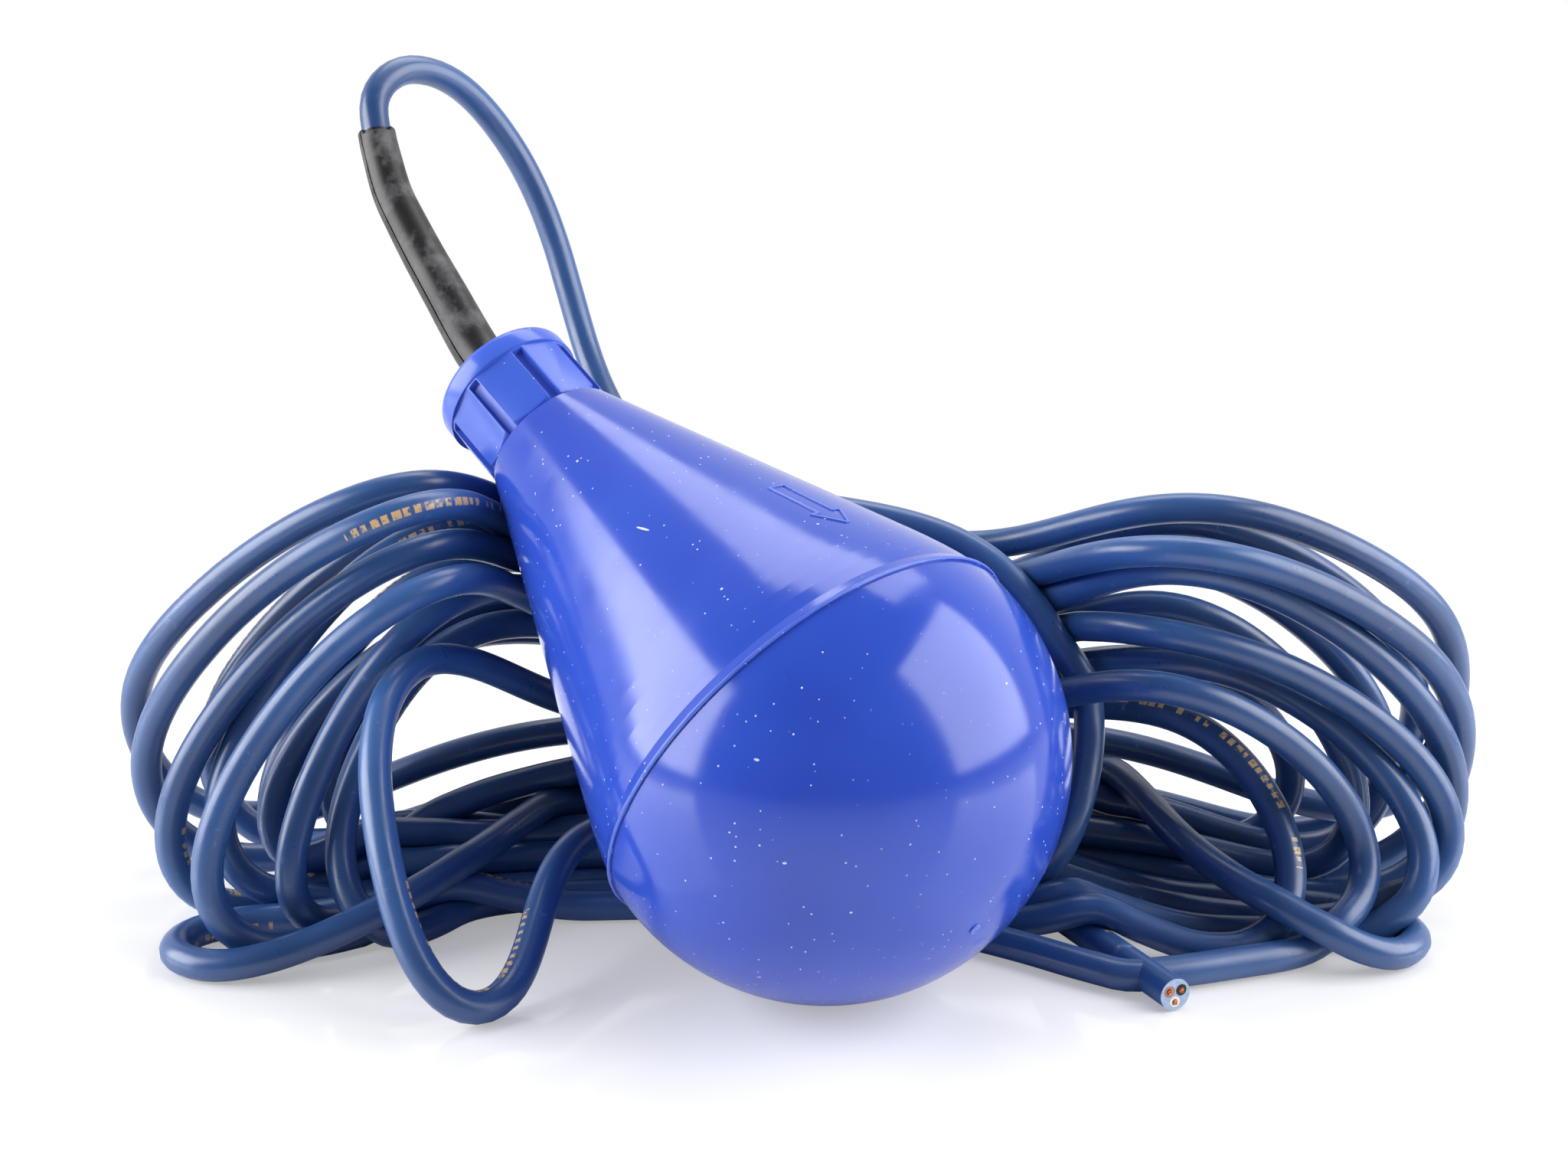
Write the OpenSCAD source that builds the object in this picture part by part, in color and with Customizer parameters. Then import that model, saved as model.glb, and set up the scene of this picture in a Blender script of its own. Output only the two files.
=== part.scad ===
// Cable float switch: a drop-shaped float with a screwed gland, and its lead lying in a hank.
// Units are mm, +Z is up, and the float's axis lies in the YZ plane with its nut end towards +Y.
// Every float part is drawn upright about the ball's centre and set in place by on_float().
// The lead's route is written as seen in the photograph and turned into place by in_layout().

/* [Float] */
// Outer diameter of the round end
ball_diameter = 100; // [90:1:110]
// Wall of both casing halves
casing_wall = 2.5; // [2:0.1:3]
// Weld seam above the ball's centre
seam_height = 3.8; // [3:0.1:5]
// Shoulder under the nut, above the ball's centre
shoulder_height = 98.6; // [96:0.2:102]
// Diameter of the cone at the shoulder
shoulder_diameter = 32.4; // [31:0.2:34]
// Angle of the float's axis above the floor
lean_angle = 33.4; // [30:0.1:36]

/* [Gland] */
// Outer diameter of the nut's rim
nut_diameter = 33; // [32:0.2:34]
// Height of the nut
nut_height = 22; // [20:0.5:24]
// Number of flats on the nut, with a grip channel at each corner
nut_flats = 8; // [6:1:10]
// Width of one grip channel
channel_width = 2.6; // [2:0.1:3.2]
// Depth of one grip channel
channel_depth = 1.3; // [0.8:0.1:1.6]

/* [Lead] */
// Outer diameter of the cable's jacket
cable_diameter = 6.8; // [6.4:0.1:7.2]
// Diameter of one insulated core
core_diameter = 2.4; // [2.2:0.1:2.6]
// Diameter of one stranded conductor
conductor_diameter = 1.2; // [1:0.1:1.3]
// Diameter of the bend sleeve at the nut
sleeve_foot_diameter = 11.4; // [11:0.1:12]
// Diameter of the bend sleeve at its free end
sleeve_tip_diameter = 8.8; // [8.7:0.1:9.4]
// Opening of the slit along the sleeve
sleeve_slit = 0.5; // [0.3:0.1:0.8]

/* [Switch] */
// Diameter of the rolling ball
roller_diameter = 16; // [15:0.5:17]
// Outer diameter of the tube that holds the switch
carrier_diameter = 36.4; // [36:0.1:37]
// Length of the switch body
switch_length = 27.8; // [27:0.1:28]
// Width of the switch body
switch_width = 10.3; // [10:0.1:10.6]
// Height of the switch body
switch_height = 15.9; // [15:0.1:16.5]

/* [Clearances] */
// Gap of a loose fit between two hard pieces
loose_gap = 0.2; // [0.1:0.05:0.3]
// Gap of a close fit on a pin or the cable
close_gap = 0.05; // [0.03:0.01:0.08]

/* [Hidden] */
// Facets of a round face, which becomes an exact cylinder or cone
$fn = 64;
eps = 0.01;

// Float outline
ball_r = ball_diameter / 2;
seam_r = sqrt(ball_r * ball_r - seam_height * seam_height);
shoulder_r = shoulder_diameter / 2;
inner_ball_r = ball_r - casing_wall;
hip_r = 0.9 * ball_r;
hip_rise = 16.8;
hip_height = seam_height + hip_rise;
knee_rise = 6.4;
knee_height = seam_height + knee_rise;
cone_run = (hip_r - shoulder_r) / (shoulder_height - hip_height);
arc_steps = 5;
flash_height = 0.9;
flash_out = 0.4;
lip_inset = 1.2;
lip_r = inner_ball_r - lip_inset;
lip_wall = 1.8;
lip_rise = 3;
lip_root = 6;

// Gland
neck_r = 12.6;
neck_bore_r = 9.2;
ridge_r = 13.3;
ridge_width = 1.4;
ridge_count = 4;
ridge_foot = 3.6;
neck_floor = 2.4;
nut_r = nut_diameter / 2;
nut_gap = 0.5;
nut_foot = shoulder_height + nut_gap;
nut_top = nut_foot + nut_height;
nut_rim_height = 5.6;
nut_round = 2;
nut_body_inset = 0.35;
nut_flat_inset = 1.05;
nut_body_r = nut_r - nut_body_inset;
nut_flat_r = nut_r - nut_flat_inset;
channel_stop = 0.6;
nut_chamfer = 1;
nut_roof = 2.6;
nut_mouth_gap = 0.6;
nut_mouth_r = sleeve_foot_diameter / 2 + nut_mouth_gap;
washer_height = 2;
washer_gap = 1.5;
neck_height = nut_gap + nut_height - nut_roof - washer_height - washer_gap;
ridge_end = 1.2;
ridge_pitch = (neck_height - ridge_foot - ridge_width - ridge_end) / (ridge_count - 1);
seal_gap = 2.5;
seal_height = neck_height - neck_floor - seal_gap;

// Lead
cable_r = cable_diameter / 2;
cable_bore_r = cable_r + close_gap;
tube_sides = 12;
sleeve_bore_r = cable_r / cos(180 / tube_sides) + close_gap;
stub_drop = 28.6;
stub_foot = shoulder_height - stub_drop;
lead_start = nut_top - 2;
core_r = core_diameter / 2;
conductor_r = conductor_diameter / 2;
core_pitch_r = 1.6;
core_bore_r = core_r + close_gap;
end_length = 18;
core_count = 3;

// Switch carrier, measured up from the ball's centre
carrier_r = carrier_diameter / 2;
carrier_wall = 2;
carrier_bore_r = carrier_r - carrier_wall;
carrier_drop = 19.6;
carrier_length = 71;
carrier_top = shoulder_height - carrier_drop;
carrier_foot = carrier_top - carrier_length;
carrier_floor = 2;
flange_rise = 9.4;
flange_height = hip_height + flange_rise;
flange_thickness = 2;
flange_hole_r = 4;
flange_hole_count = 6;
lid_thickness = 3;
lid_spigot = 3;
lid_wall = 1.6;
roller_r = roller_diameter / 2;
roller_travel = 3;
roller_rest = carrier_foot + carrier_floor + roller_r + close_gap;
track_height = 15.2;
track_top = carrier_foot + carrier_floor + track_height;
lever_gap = 0.35;
lever_thickness = 0.5;
lever_width = 4;
lever_reach = 12.5;
lever_tail = 6;
lever_eye_r = 1.6;
pin_r = 0.8;
pivot_height = roller_rest + roller_r + lever_gap + lever_thickness;
lever_turn = roller_travel / lever_reach * 180 / PI;
switch_foot = pivot_height + (lever_reach + lever_tail) * sin(lever_turn) + loose_gap;
ear_width = 2;
ear_half_gap = 2.6;
ear_size = 4.4;
plunger_r = 1.2;
plunger_offset = 5;
plunger_inside = 3;
plunger_stroke = roller_travel * (plunger_offset + plunger_r) / lever_reach;
blade_height = 8;
blade_width = 4.8;
blade_thickness = 0.8;
blade_pitch = 9;
blade_count = 3;
screw_r = 1.5;
screw_pitch = 22.2;
screw_head_r = 2.8;
screw_head_height = 2;
screw_rise = 2.9;
screw_height = switch_foot + screw_rise;
tongue_thickness = 2.4;
clamp_r = 9;
clamp_height = 4.9;
clamp_screw_r = 1.1;
clamp_screw_offset = 6.3;
clamp_head_r = 2;
clamp_head_height = 1.4;
clamp_foot = carrier_top + close_gap + lid_thickness + close_gap;
tongue_drop = 4;

// Hank of the lead, in the layout's own axes
hank_left = 160;
left_lobe_x = 110;
left_lobe_r = 52;
left_eye = [88, 44];
hank_right = 152;
right_lobe_x = 106;
right_lobe_r = 48;
right_eye = [96, 40];
hank_front = 4;
hank_top_front = 54;
hank_top_back = 92;
hank_back = 96;
hank_foot_r = 15;
hank_eye_r = 14;
waist_front = 60;
waist_back = 92;
waist_top = 60;
waist_left = 80;
waist_right = 86;

// Where the float and the lead stand
float_back = 30;
photo_turn = 46;
end_face = [71, -13, cable_r + 0.1];
end_turn = 23;

// Route of the lead from the nut over the loop and down to the hank, in the layout's own axes
lead_route = [
    [-79, 76.5, 123], [-87, 83, 135.5], [-92, 88, 143], [-96.5, 92, 150.5], [-100, 95, 157],
    [-102.5, 98.5, 164], [-104.5, 102, 171], [-105.5, 106, 178], [-103.5, 111, 183],
    [-99, 116.5, 185.5], [-93, 122, 184.5], [-87, 127, 180.5], [-81, 131, 173.5],
    [-75, 133.5, 164], [-70, 134, 153.5], [-66, 133, 142.5], [-62.5, 130, 131],
    [-59.5, 126, 120], [-56, 120, 109.5], [-50, 112, 98], [-42, 104, 86], [-33, 97, 74],
    [-24, 91, 60]
];
sleeve_points = 7;
route_steps = 3;
slit_turn = 205;
arc_points = 16;

// Route of the single loop that stands in front of the hank's left side
loop_route = [
    [-75, 41, 61], [-80, 37, 64], [-87, 28, 66.5], [-91, 18, 63],
    [-92.5, 8, 56], [-91.5, -2, 48], [-89, -9, 38.5], [-85, -15, 27], [-80.5, -19, 15.5],
    [-75, -21, 7], [-68.5, -20, 3.6], [-63.5, -15, 5.5], [-61.5, -8, 10], [-61, 1, 16],
    [-59, 11, 21], [-56, 22, 23.5], [-51, 34, 23], [-46, 47, 21], [-42, 63, 19]
];

// Route of the tail from behind the ball to the cut end
tail_route = [[38, 62, 6], [43, 51, 4.2], [48, 40.5, 3.5], [54, 27, 3.5]];

// General functions

function unit(v) = v / norm(v);

// Direction at each point of a smoothed route, which leaves and arrives along the route's own ends
function directions(p, route) = [
    for (i = [0:len(p) - 1])
        i == 0 ? unit(route[1] - route[0]) :
        i == len(p) - 1 ? unit(route[len(route) - 1] - route[len(route) - 2]) :
        unit(p[i + 1] - p[i - 1])
];

// A side vector for each direction, carried along so that the tube doesn't twist
function carried(t, i, side) = i >= len(t) ? [] :
    let (next = unit(side - (side * t[i]) * t[i])) concat([next], carried(t, i + 1, next));

// One point of a smooth curve through the route, between its points i and i + 1
function curve_point(p, i, u) =
    let (
        a = i == 0 ? 2 * p[0] - p[1] : p[i - 1],
        b = p[i],
        c = p[i + 1],
        d = i + 2 > len(p) - 1 ? 2 * p[i + 1] - p[i] : p[i + 2]
    )
    b + u / 2 * (c - a) + u * u / 2 * (2 * a - 5 * b + 4 * c - d)
    + u * u * u / 2 * (3 * b - 3 * c + d - a);

function smooth_route(p, steps) = concat(
    [for (i = [0:len(p) - 2]) for (k = [0:steps - 1]) curve_point(p, i, k / steps)],
    [p[len(p) - 1]]
);

function first_points(p, count) = [for (i = [0:count - 1]) p[i]];

// Height of the shoulder's side of the casing as its radius falls
function cone_radius(height) = hip_r - cone_run * (height - hip_height);

// Rounded hip between the seam and the straight cone, as one quadratic curve
function hip_points(inset) = [
    for (k = [0:arc_steps])
        let (
            u = k / arc_steps,
            knee = [cone_radius(knee_height), knee_height],
            start = [seam_r, seam_height],
            finish = [hip_r, hip_height]
        )
        (1 - u) * (1 - u) * start + 2 * u * (1 - u) * knee + u * u * finish - [inset, 0]
];

// Placing

module on_float() {
    translate([0, -float_back, ball_r])
        rotate([lean_angle - 90, 0, 0])
            children();
}

module in_layout() {
    translate([0, -float_back, 0])
        rotate([0, 0, -photo_turn])
            children();
}

module at_cut_end() {
    in_layout()
        translate(end_face)
            rotate([0, 0, end_turn])
                rotate([90, 0, 0])
                    children();
}

// Shapes used more than once

module ring(outer_r, inner_r, height) {
    difference() {
        cylinder(r = outer_r, h = height);
        translate([0, 0, -1])
            cylinder(r = inner_r, h = height + 2);
    }
}

// Closed shell of a loop of cross-sections, with a cap made of one fan at each end
module swept_tube(route, steps, radius) {
    path = smooth_route(route, steps);
    ways = directions(path, route);
    sides = carried(ways, 0, cross(ways[0], [0.3, 0.5, 0.8]));
    rings = len(path);
    points = [
        for (i = [0:rings - 1]) for (k = [0:tube_sides - 1])
            let (turn = 360 * k / tube_sides)
            path[i] + radius * (cos(turn) * sides[i] + sin(turn) * cross(ways[i], sides[i]))
    ];
    walls = [
        for (i = [0:rings - 2]) for (k = [0:tube_sides - 1])
            let (
                a = i * tube_sides + k,
                b = i * tube_sides + (k + 1) % tube_sides
            )
            for (face = [[a, a + tube_sides, b], [b, a + tube_sides, b + tube_sides]]) face
    ];
    last = (rings - 1) * tube_sides;
    caps = [
        [for (k = [0:tube_sides - 1]) k],
        [for (k = [tube_sides - 1:-1:0]) last + k]
    ];
    polyhedron(points = points, faces = concat(walls, caps));
}

// A split tube: each cross-section runs around the outside and back along the inside
module split_sleeve(route, steps, foot_r, tip_r, bore_r) {
    path = smooth_route(route, steps);
    ways = directions(path, route);
    sides = carried(ways, 0, cross(ways[0], [0.3, 0.5, 0.8]));
    rings = len(path);
    half_slit = asin(sleeve_slit / 2 / bore_r);
    loop_points = 2 * arc_points;
    turns = [
        for (k = [0:arc_points - 1])
            slit_turn + half_slit + (360 - 2 * half_slit) * k / (arc_points - 1)
    ];
    points = [
        for (i = [0:rings - 1])
            let (
                outer = foot_r + (tip_r - foot_r) * i / (rings - 1),
                across = cross(ways[i], sides[i])
            )
            for (k = [0:loop_points - 1])
                let (
                    outside = k < arc_points,
                    turn = outside ? turns[k] : turns[loop_points - 1 - k],
                    r = outside ? outer : bore_r
                )
                path[i] + r * (cos(turn) * sides[i] + sin(turn) * across)
    ];
    walls = [
        for (i = [0:rings - 2]) for (k = [0:loop_points - 1])
            let (
                a = i * loop_points + k,
                b = i * loop_points + (k + 1) % loop_points
            )
            for (face = [[a, a + loop_points, b], [b, a + loop_points, b + loop_points]]) face
    ];
    last = (rings - 1) * loop_points;
    caps = [
        for (k = [0:arc_points - 2])
            let (
                a = k,
                b = k + 1,
                c = loop_points - 2 - k,
                d = loop_points - 1 - k
            )
            for (face = [
                [a, b, c], [a, c, d],
                [last + c, last + b, last + a], [last + d, last + c, last + a]
            ]) face
    ];
    polyhedron(points = points, faces = concat(walls, caps));
}

// Casing

module casing_cone() {
    color([0.10, 0.16, 0.68])
    on_float() {
        rotate_extrude()
            polygon(concat(
                [[seam_r + flash_out, seam_height], [seam_r + flash_out, seam_height + flash_height]],
                [for (p = hip_points(0)) if (p.y > seam_height + flash_height) p],
                [
                    [shoulder_r, shoulder_height],
                    [neck_r, shoulder_height],
                    [neck_r, shoulder_height + neck_height],
                    [neck_bore_r, shoulder_height + neck_height],
                    [neck_bore_r, shoulder_height + neck_floor],
                    [cable_bore_r + loose_gap, shoulder_height + neck_floor],
                    [cable_bore_r + loose_gap, shoulder_height - casing_wall],
                    [shoulder_r - casing_wall, shoulder_height - casing_wall]
                ],
                [for (k = [arc_steps:-1:0]) hip_points(casing_wall)[k]]
            ));
        for (k = [0:ridge_count - 1])
            translate([0, 0, shoulder_height + ridge_foot + k * ridge_pitch])
                ring(ridge_r, neck_r - 0.5, ridge_width);
    }
}

module casing_bowl() {
    color([0.10, 0.16, 0.68])
    on_float() {
        rotate_extrude()
            difference() {
                intersection() {
                    circle(r = ball_r);
                    translate([0, -ball_r - 1])
                        square([ball_r + 1, ball_r + 1 + seam_height]);
                }
                circle(r = inner_ball_r);
            }
        translate([0, 0, seam_height - lip_root])
            ring(lip_r, lip_r - lip_wall, lip_root + lip_rise);
        translate([0, 0, seam_height - lip_root])
            ring(inner_ball_r + 0.4, lip_r - 0.4, lip_root - loose_gap);
    }
}

// Gland

module grip_channels() {
    for (k = [0:nut_flats - 1])
        rotate([0, 0, (k + 0.5) * 360 / nut_flats])
            translate([nut_body_r - channel_depth - nut_body_inset, -channel_width / 2, nut_foot - 1])
                cube([nut_r, channel_width, nut_height - nut_rim_height - channel_stop + 1]);
}

module nut_blank() {
    intersection() {
        translate([0, 0, nut_foot])
            cylinder(r = nut_body_r, h = nut_height - nut_rim_height + eps);
        translate([0, 0, nut_foot])
            rotate([0, 0, 180 / nut_flats])
                cylinder(r = nut_flat_r / cos(180 / nut_flats), h = nut_height, $fn = nut_flats);
        translate([0, 0, nut_foot])
            cylinder(
                r1 = nut_body_r - nut_chamfer,
                r2 = nut_body_r - nut_chamfer + nut_height,
                h = nut_height
            );
    }
    rotate_extrude()
        translate([0, nut_top - nut_rim_height]) {
            square([nut_r - nut_round, nut_rim_height]);
            square([nut_r, nut_rim_height - nut_round]);
            translate([nut_r - nut_round, nut_rim_height - nut_round])
                intersection() {
                    circle(r = nut_round);
                    square(nut_round);
                }
        }
}

module gland_nut() {
    color([0.12, 0.20, 0.72])
    on_float()
        difference() {
            nut_blank();
            grip_channels();
            translate([0, 0, nut_foot - 1])
                cylinder(r = ridge_r + loose_gap, h = nut_height - nut_roof + 1);
            translate([0, 0, nut_foot])
                cylinder(r = nut_mouth_r, h = nut_height + 1);
        }
}

module gland_washer() {
    color([0.75, 0.75, 0.72])
    on_float()
        translate([0, 0, nut_top - nut_roof - washer_height - close_gap])
            ring(ridge_r - loose_gap, cable_bore_r + loose_gap, washer_height);
}

module gland_seal() {
    color([0.08, 0.08, 0.08])
    on_float()
        translate([0, 0, shoulder_height + neck_floor + close_gap])
            ring(neck_bore_r - close_gap, cable_bore_r, seal_height);
}

module bend_sleeve() {
    color([0.09, 0.09, 0.09])
    in_layout()
        split_sleeve(
            concat(lead_foot(), first_points(lead_route, sleeve_points)),
            route_steps,
            sleeve_foot_diameter / 2,
            sleeve_tip_diameter / 2,
            sleeve_bore_r
        );
}

// A point on the float's axis, in the layout's axes
function axis_point(height) = [
    -sin(photo_turn) * cos(lean_angle) * height,
    cos(photo_turn) * cos(lean_angle) * height,
    ball_r + sin(lean_angle) * height
];

// The lead's first straight stretch inside the nut
function lead_foot() = [axis_point(lead_start), axis_point(nut_top + 1)];

// Switch mechanism inside the float

module switch_carrier() {
    flange_r = cone_radius(flange_height + flange_thickness) - casing_wall - loose_gap;
    color([0.82, 0.82, 0.78])
    on_float() {
        translate([0, 0, carrier_foot])
            difference() {
                cylinder(r = carrier_r, h = carrier_length);
                translate([0, 0, carrier_floor])
                    cylinder(r = carrier_bore_r, h = carrier_length);
            }
        translate([0, 0, flange_height])
            difference() {
                ring(flange_r, carrier_r - 0.5, flange_thickness);
                for (k = [0:flange_hole_count - 1])
                    rotate([0, 0, k * 360 / flange_hole_count])
                        translate([(flange_r + carrier_r) / 2, 0, -1])
                            cylinder(r = flange_hole_r, h = flange_thickness + 2);
            }
    }
}

// The lid carries a tongue that reaches down beside the switch
module carrier_lid() {
    tongue_y = switch_width / 2 + close_gap;
    tongue_foot = screw_height - tongue_drop;
    spigot_r = carrier_bore_r - loose_gap;
    color([0.78, 0.78, 0.74])
    on_float()
        difference() {
            union() {
                translate([0, 0, carrier_top + close_gap])
                    cylinder(r = carrier_r, h = lid_thickness);
                translate([0, 0, carrier_top - lid_spigot])
                    ring(spigot_r, spigot_r - lid_wall, lid_spigot + 1);
                translate([-switch_length / 2, tongue_y, tongue_foot])
                    cube([switch_length, tongue_thickness, carrier_top + 1 - tongue_foot]);
            }
            translate([0, 0, carrier_top - 1])
                cylinder(r = cable_bore_r + loose_gap, h = lid_thickness + 3);
            switch_screw_places()
                cylinder(r = screw_r + close_gap, h = carrier_diameter, center = true);
            translate([0, 0, carrier_top - 0.8])
                clamp_screw_places()
                    cylinder(r = clamp_screw_r + close_gap, h = lid_thickness + 3);
        }
}

module ball_track() {
    color([0.9, 0.9, 0.86])
    on_float()
        translate([0, 0, carrier_foot + carrier_floor])
            ring(carrier_bore_r - loose_gap, roller_r + loose_gap, track_height);
}

module roller_ball() {
    color([0.7, 0.7, 0.72])
    on_float()
        translate([0, 0, roller_rest])
            sphere(r = roller_r);
}

module switch_screw_places() {
    for (side = [-1, 1])
        translate([side * screw_pitch / 2, 0, screw_height])
            rotate([-90, 0, 0])
                children();
}

module switch_body() {
    color([0.12, 0.12, 0.13])
    on_float()
        difference() {
            union() {
                translate([-switch_length / 2, -switch_width / 2, switch_foot])
                    cube([switch_length, switch_width, switch_height]);
                for (side = [-1, 1])
                    translate([
                        -lever_reach - ear_size / 2,
                        side * (ear_half_gap + ear_width / 2) - ear_width / 2,
                        pivot_height - lever_eye_r
                    ])
                        cube([ear_size, ear_width, switch_foot - pivot_height + 2]);
            }
            translate([-lever_reach, 0, pivot_height])
                rotate([90, 0, 0])
                    cylinder(r = pin_r + close_gap, h = switch_width + 2, center = true);
            translate([plunger_offset - lever_reach, 0, switch_foot - 1])
                cylinder(r = plunger_r + close_gap, h = plunger_inside + plunger_stroke + 1.5);
            switch_screw_places()
                cylinder(r = screw_r + close_gap, h = switch_width + 2, center = true);
        }
}

module switch_lever() {
    color([0.75, 0.72, 0.6])
    on_float()
        difference() {
            union() {
                translate([-lever_reach, 0, pivot_height])
                    rotate([90, 0, 0])
                        cylinder(r = lever_eye_r, h = lever_width, center = true);
                translate([-lever_reach, -lever_width / 2, pivot_height - lever_thickness])
                    cube([lever_reach + lever_tail, lever_width, lever_thickness]);
            }
            translate([-lever_reach, 0, pivot_height])
                rotate([90, 0, 0])
                    cylinder(r = pin_r + close_gap, h = lever_width + 2, center = true);
        }
}

module lever_pin() {
    color([0.7, 0.7, 0.7])
    on_float()
        translate([-lever_reach, 0, pivot_height])
            rotate([90, 0, 0])
                cylinder(r = pin_r, h = 2 * (ear_half_gap + ear_width), center = true);
}

module switch_plunger() {
    color([0.75, 0.2, 0.15])
    on_float()
        translate([plunger_offset - lever_reach, 0, pivot_height + close_gap * 2])
            cylinder(r = plunger_r, h = switch_foot - pivot_height + plunger_inside);
}

module switch_blades() {
    color([0.8, 0.7, 0.4])
    on_float()
        for (k = [0:blade_count - 1])
            translate([
                (k - 1) * blade_pitch - blade_width / 2,
                -blade_thickness / 2,
                switch_foot + switch_height
            ])
                cube([blade_width, blade_thickness, blade_height]);
}

module switch_screws() {
    shank = switch_width / 2 + tongue_thickness + close_gap + 1;
    color([0.7, 0.7, 0.72])
    on_float()
        switch_screw_places() {
            translate([0, 0, -switch_width / 2 - screw_head_height])
                cylinder(r = screw_head_r, h = screw_head_height);
            translate([0, 0, -switch_width / 2 - eps])
                cylinder(r = screw_r, h = switch_width / 2 + shank);
        }
}

module clamp_screw_places() {
    for (side = [-1, 1])
        translate([0, side * clamp_screw_offset, 0])
            children();
}

module cable_clamp() {
    color([0.82, 0.82, 0.78])
    on_float()
        translate([0, 0, clamp_foot])
            difference() {
                ring(clamp_r, cable_bore_r, clamp_height);
                translate([0, 0, -1])
                    clamp_screw_places()
                        cylinder(r = clamp_screw_r + close_gap, h = clamp_height + 2);
            }
}

module clamp_screws() {
    clamp_top = clamp_foot + clamp_height;
    color([0.7, 0.7, 0.72])
    on_float()
        clamp_screw_places() {
            translate([0, 0, clamp_top])
                cylinder(r = clamp_head_r, h = clamp_head_height);
            translate([0, 0, carrier_top - 0.5])
                cylinder(r = clamp_screw_r, h = clamp_top - carrier_top + 0.5 + eps);
        }
}

// Lead

module cable_stub() {
    color([0.10, 0.18, 0.38])
    on_float()
        translate([0, 0, stub_foot])
            cylinder(r = cable_r, h = lead_start - stub_foot);
}

// Where each of the three cores lies in the jacket: two above, one below
function core_spot(index) =
    let (turn = 120 * index + 30)
    core_pitch_r * [-cos(turn), sin(turn)];

// One insulated core from its blade up to the jacket's end
module inner_core(index) {
    blade_x = [-1, 1, 0][index] * blade_pitch;
    foot = switch_foot + switch_height + blade_height;
    rise = stub_foot - foot;
    spot = core_spot(index);
    on_float()
        swept_tube(
            [
                [blade_x, 0, foot],
                [blade_x, 0, foot + 0.2 * rise],
                [blade_x * 0.8, spot.y * 0.4, foot + 0.48 * rise],
                [blade_x * 0.4 + spot.x * 0.5, spot.y * 0.8, foot + 0.75 * rise],
                [spot.x, spot.y, foot + 0.87 * rise],
                [spot.x, spot.y, stub_foot]
            ],
            route_steps,
            core_r
        );
}

module inner_core_a() {
    color([0.55, 0.36, 0.30])
        inner_core(0);
}

module inner_core_b() {
    color([0.05, 0.05, 0.05])
        inner_core(1);
}

module inner_core_c() {
    color([0.92, 0.92, 0.9])
        inner_core(2);
}

module cable_lead() {
    color([0.10, 0.18, 0.38])
    in_layout()
        swept_tube(concat(lead_foot(), lead_route), route_steps, cable_r);
}

// Outline of one side of the hank, as seen from the front
module lobe_outline(side, outer_x, lobe_x, lobe_r, foot_r) {
    lobe_z = lobe_r - 1;
    foot_x = outer_x - foot_r;
    scale([side, 1]) {
        intersection() {
            translate([lobe_x, lobe_z])
                circle(r = lobe_r);
            square([outer_x, 2 * lobe_r]);
        }
        translate([lobe_x, 0])
            square([foot_x - lobe_x, lobe_z]);
        translate([foot_x, foot_r])
            circle(r = foot_r);
        translate([foot_x, foot_r])
            square([foot_r, lobe_z - foot_r]);
    }
}

module hank_lobe(side, outer_x, lobe_x, lobe_r, eye) {
    intersection() {
        translate([0, hank_back, 0])
            rotate([90, 0, 0])
                linear_extrude(height = hank_back - hank_front)
                    difference() {
                        lobe_outline(side, outer_x, lobe_x, lobe_r, hank_foot_r);
                        translate([side * eye.x, eye.y])
                            circle(r = hank_eye_r);
                    }
        rotate([90, 0, 90])
            translate([0, 0, -outer_x])
                linear_extrude(height = 2 * outer_x)
                    polygon([
                        [hank_front, 0], [hank_back, 0], [hank_top_back, 2 * lobe_r], [hank_top_front, 2 * lobe_r]
                    ]);
    }
}

// The turns of the lead as one solid: two open sides and the waist behind the float
module cable_hank() {
    color([0.10, 0.18, 0.38])
    in_layout() {
        hank_lobe(-1, hank_left, left_lobe_x, left_lobe_r, left_eye);
        hank_lobe(1, hank_right, right_lobe_x, right_lobe_r, right_eye);
        translate([-waist_left, waist_front, 0])
            cube([waist_left + waist_right, waist_back - waist_front, waist_top]);
    }
}

module cable_loop() {
    color([0.10, 0.18, 0.38])
    in_layout()
        swept_tube(loop_route, route_steps, cable_r);
}

module cable_tail() {
    back = [-sin(end_turn), cos(end_turn), 0];
    start = end_face + end_length * back;
    color([0.10, 0.18, 0.38])
    in_layout()
        swept_tube(concat(tail_route, [start + 5 * back, start]), route_steps, cable_r);
}

module core_places() {
    for (k = [0:core_count - 1])
        core_place(k)
            children();
}

module core_place(index) {
    translate(core_spot(index))
        children();
}

module cable_end() {
    color([0.10, 0.18, 0.38])
    at_cut_end()
        translate([0, 0, -end_length])
            difference() {
                cylinder(r = cable_r, h = end_length);
                core_places()
                    translate([0, 0, -1])
                        cylinder(r = core_bore_r, h = end_length + 2);
            }
}

module end_core(index) {
    at_cut_end()
        core_place(index)
            translate([0, 0, -end_length])
                ring(core_r, conductor_r + close_gap, end_length);
}

module end_wire(index) {
    color([0.80, 0.45, 0.28])
    at_cut_end()
        core_place(index)
            translate([0, 0, -end_length])
                cylinder(r = conductor_r, h = end_length);
}

module end_core_a() {
    color([0.55, 0.36, 0.30])
        end_core(0);
}

module end_core_b() {
    color([0.05, 0.05, 0.05])
        end_core(1);
}

module end_core_c() {
    color([0.92, 0.92, 0.9])
        end_core(2);
}

module end_wire_a() {
    end_wire(0);
}

module end_wire_b() {
    end_wire(1);
}

module end_wire_c() {
    end_wire(2);
}

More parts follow.
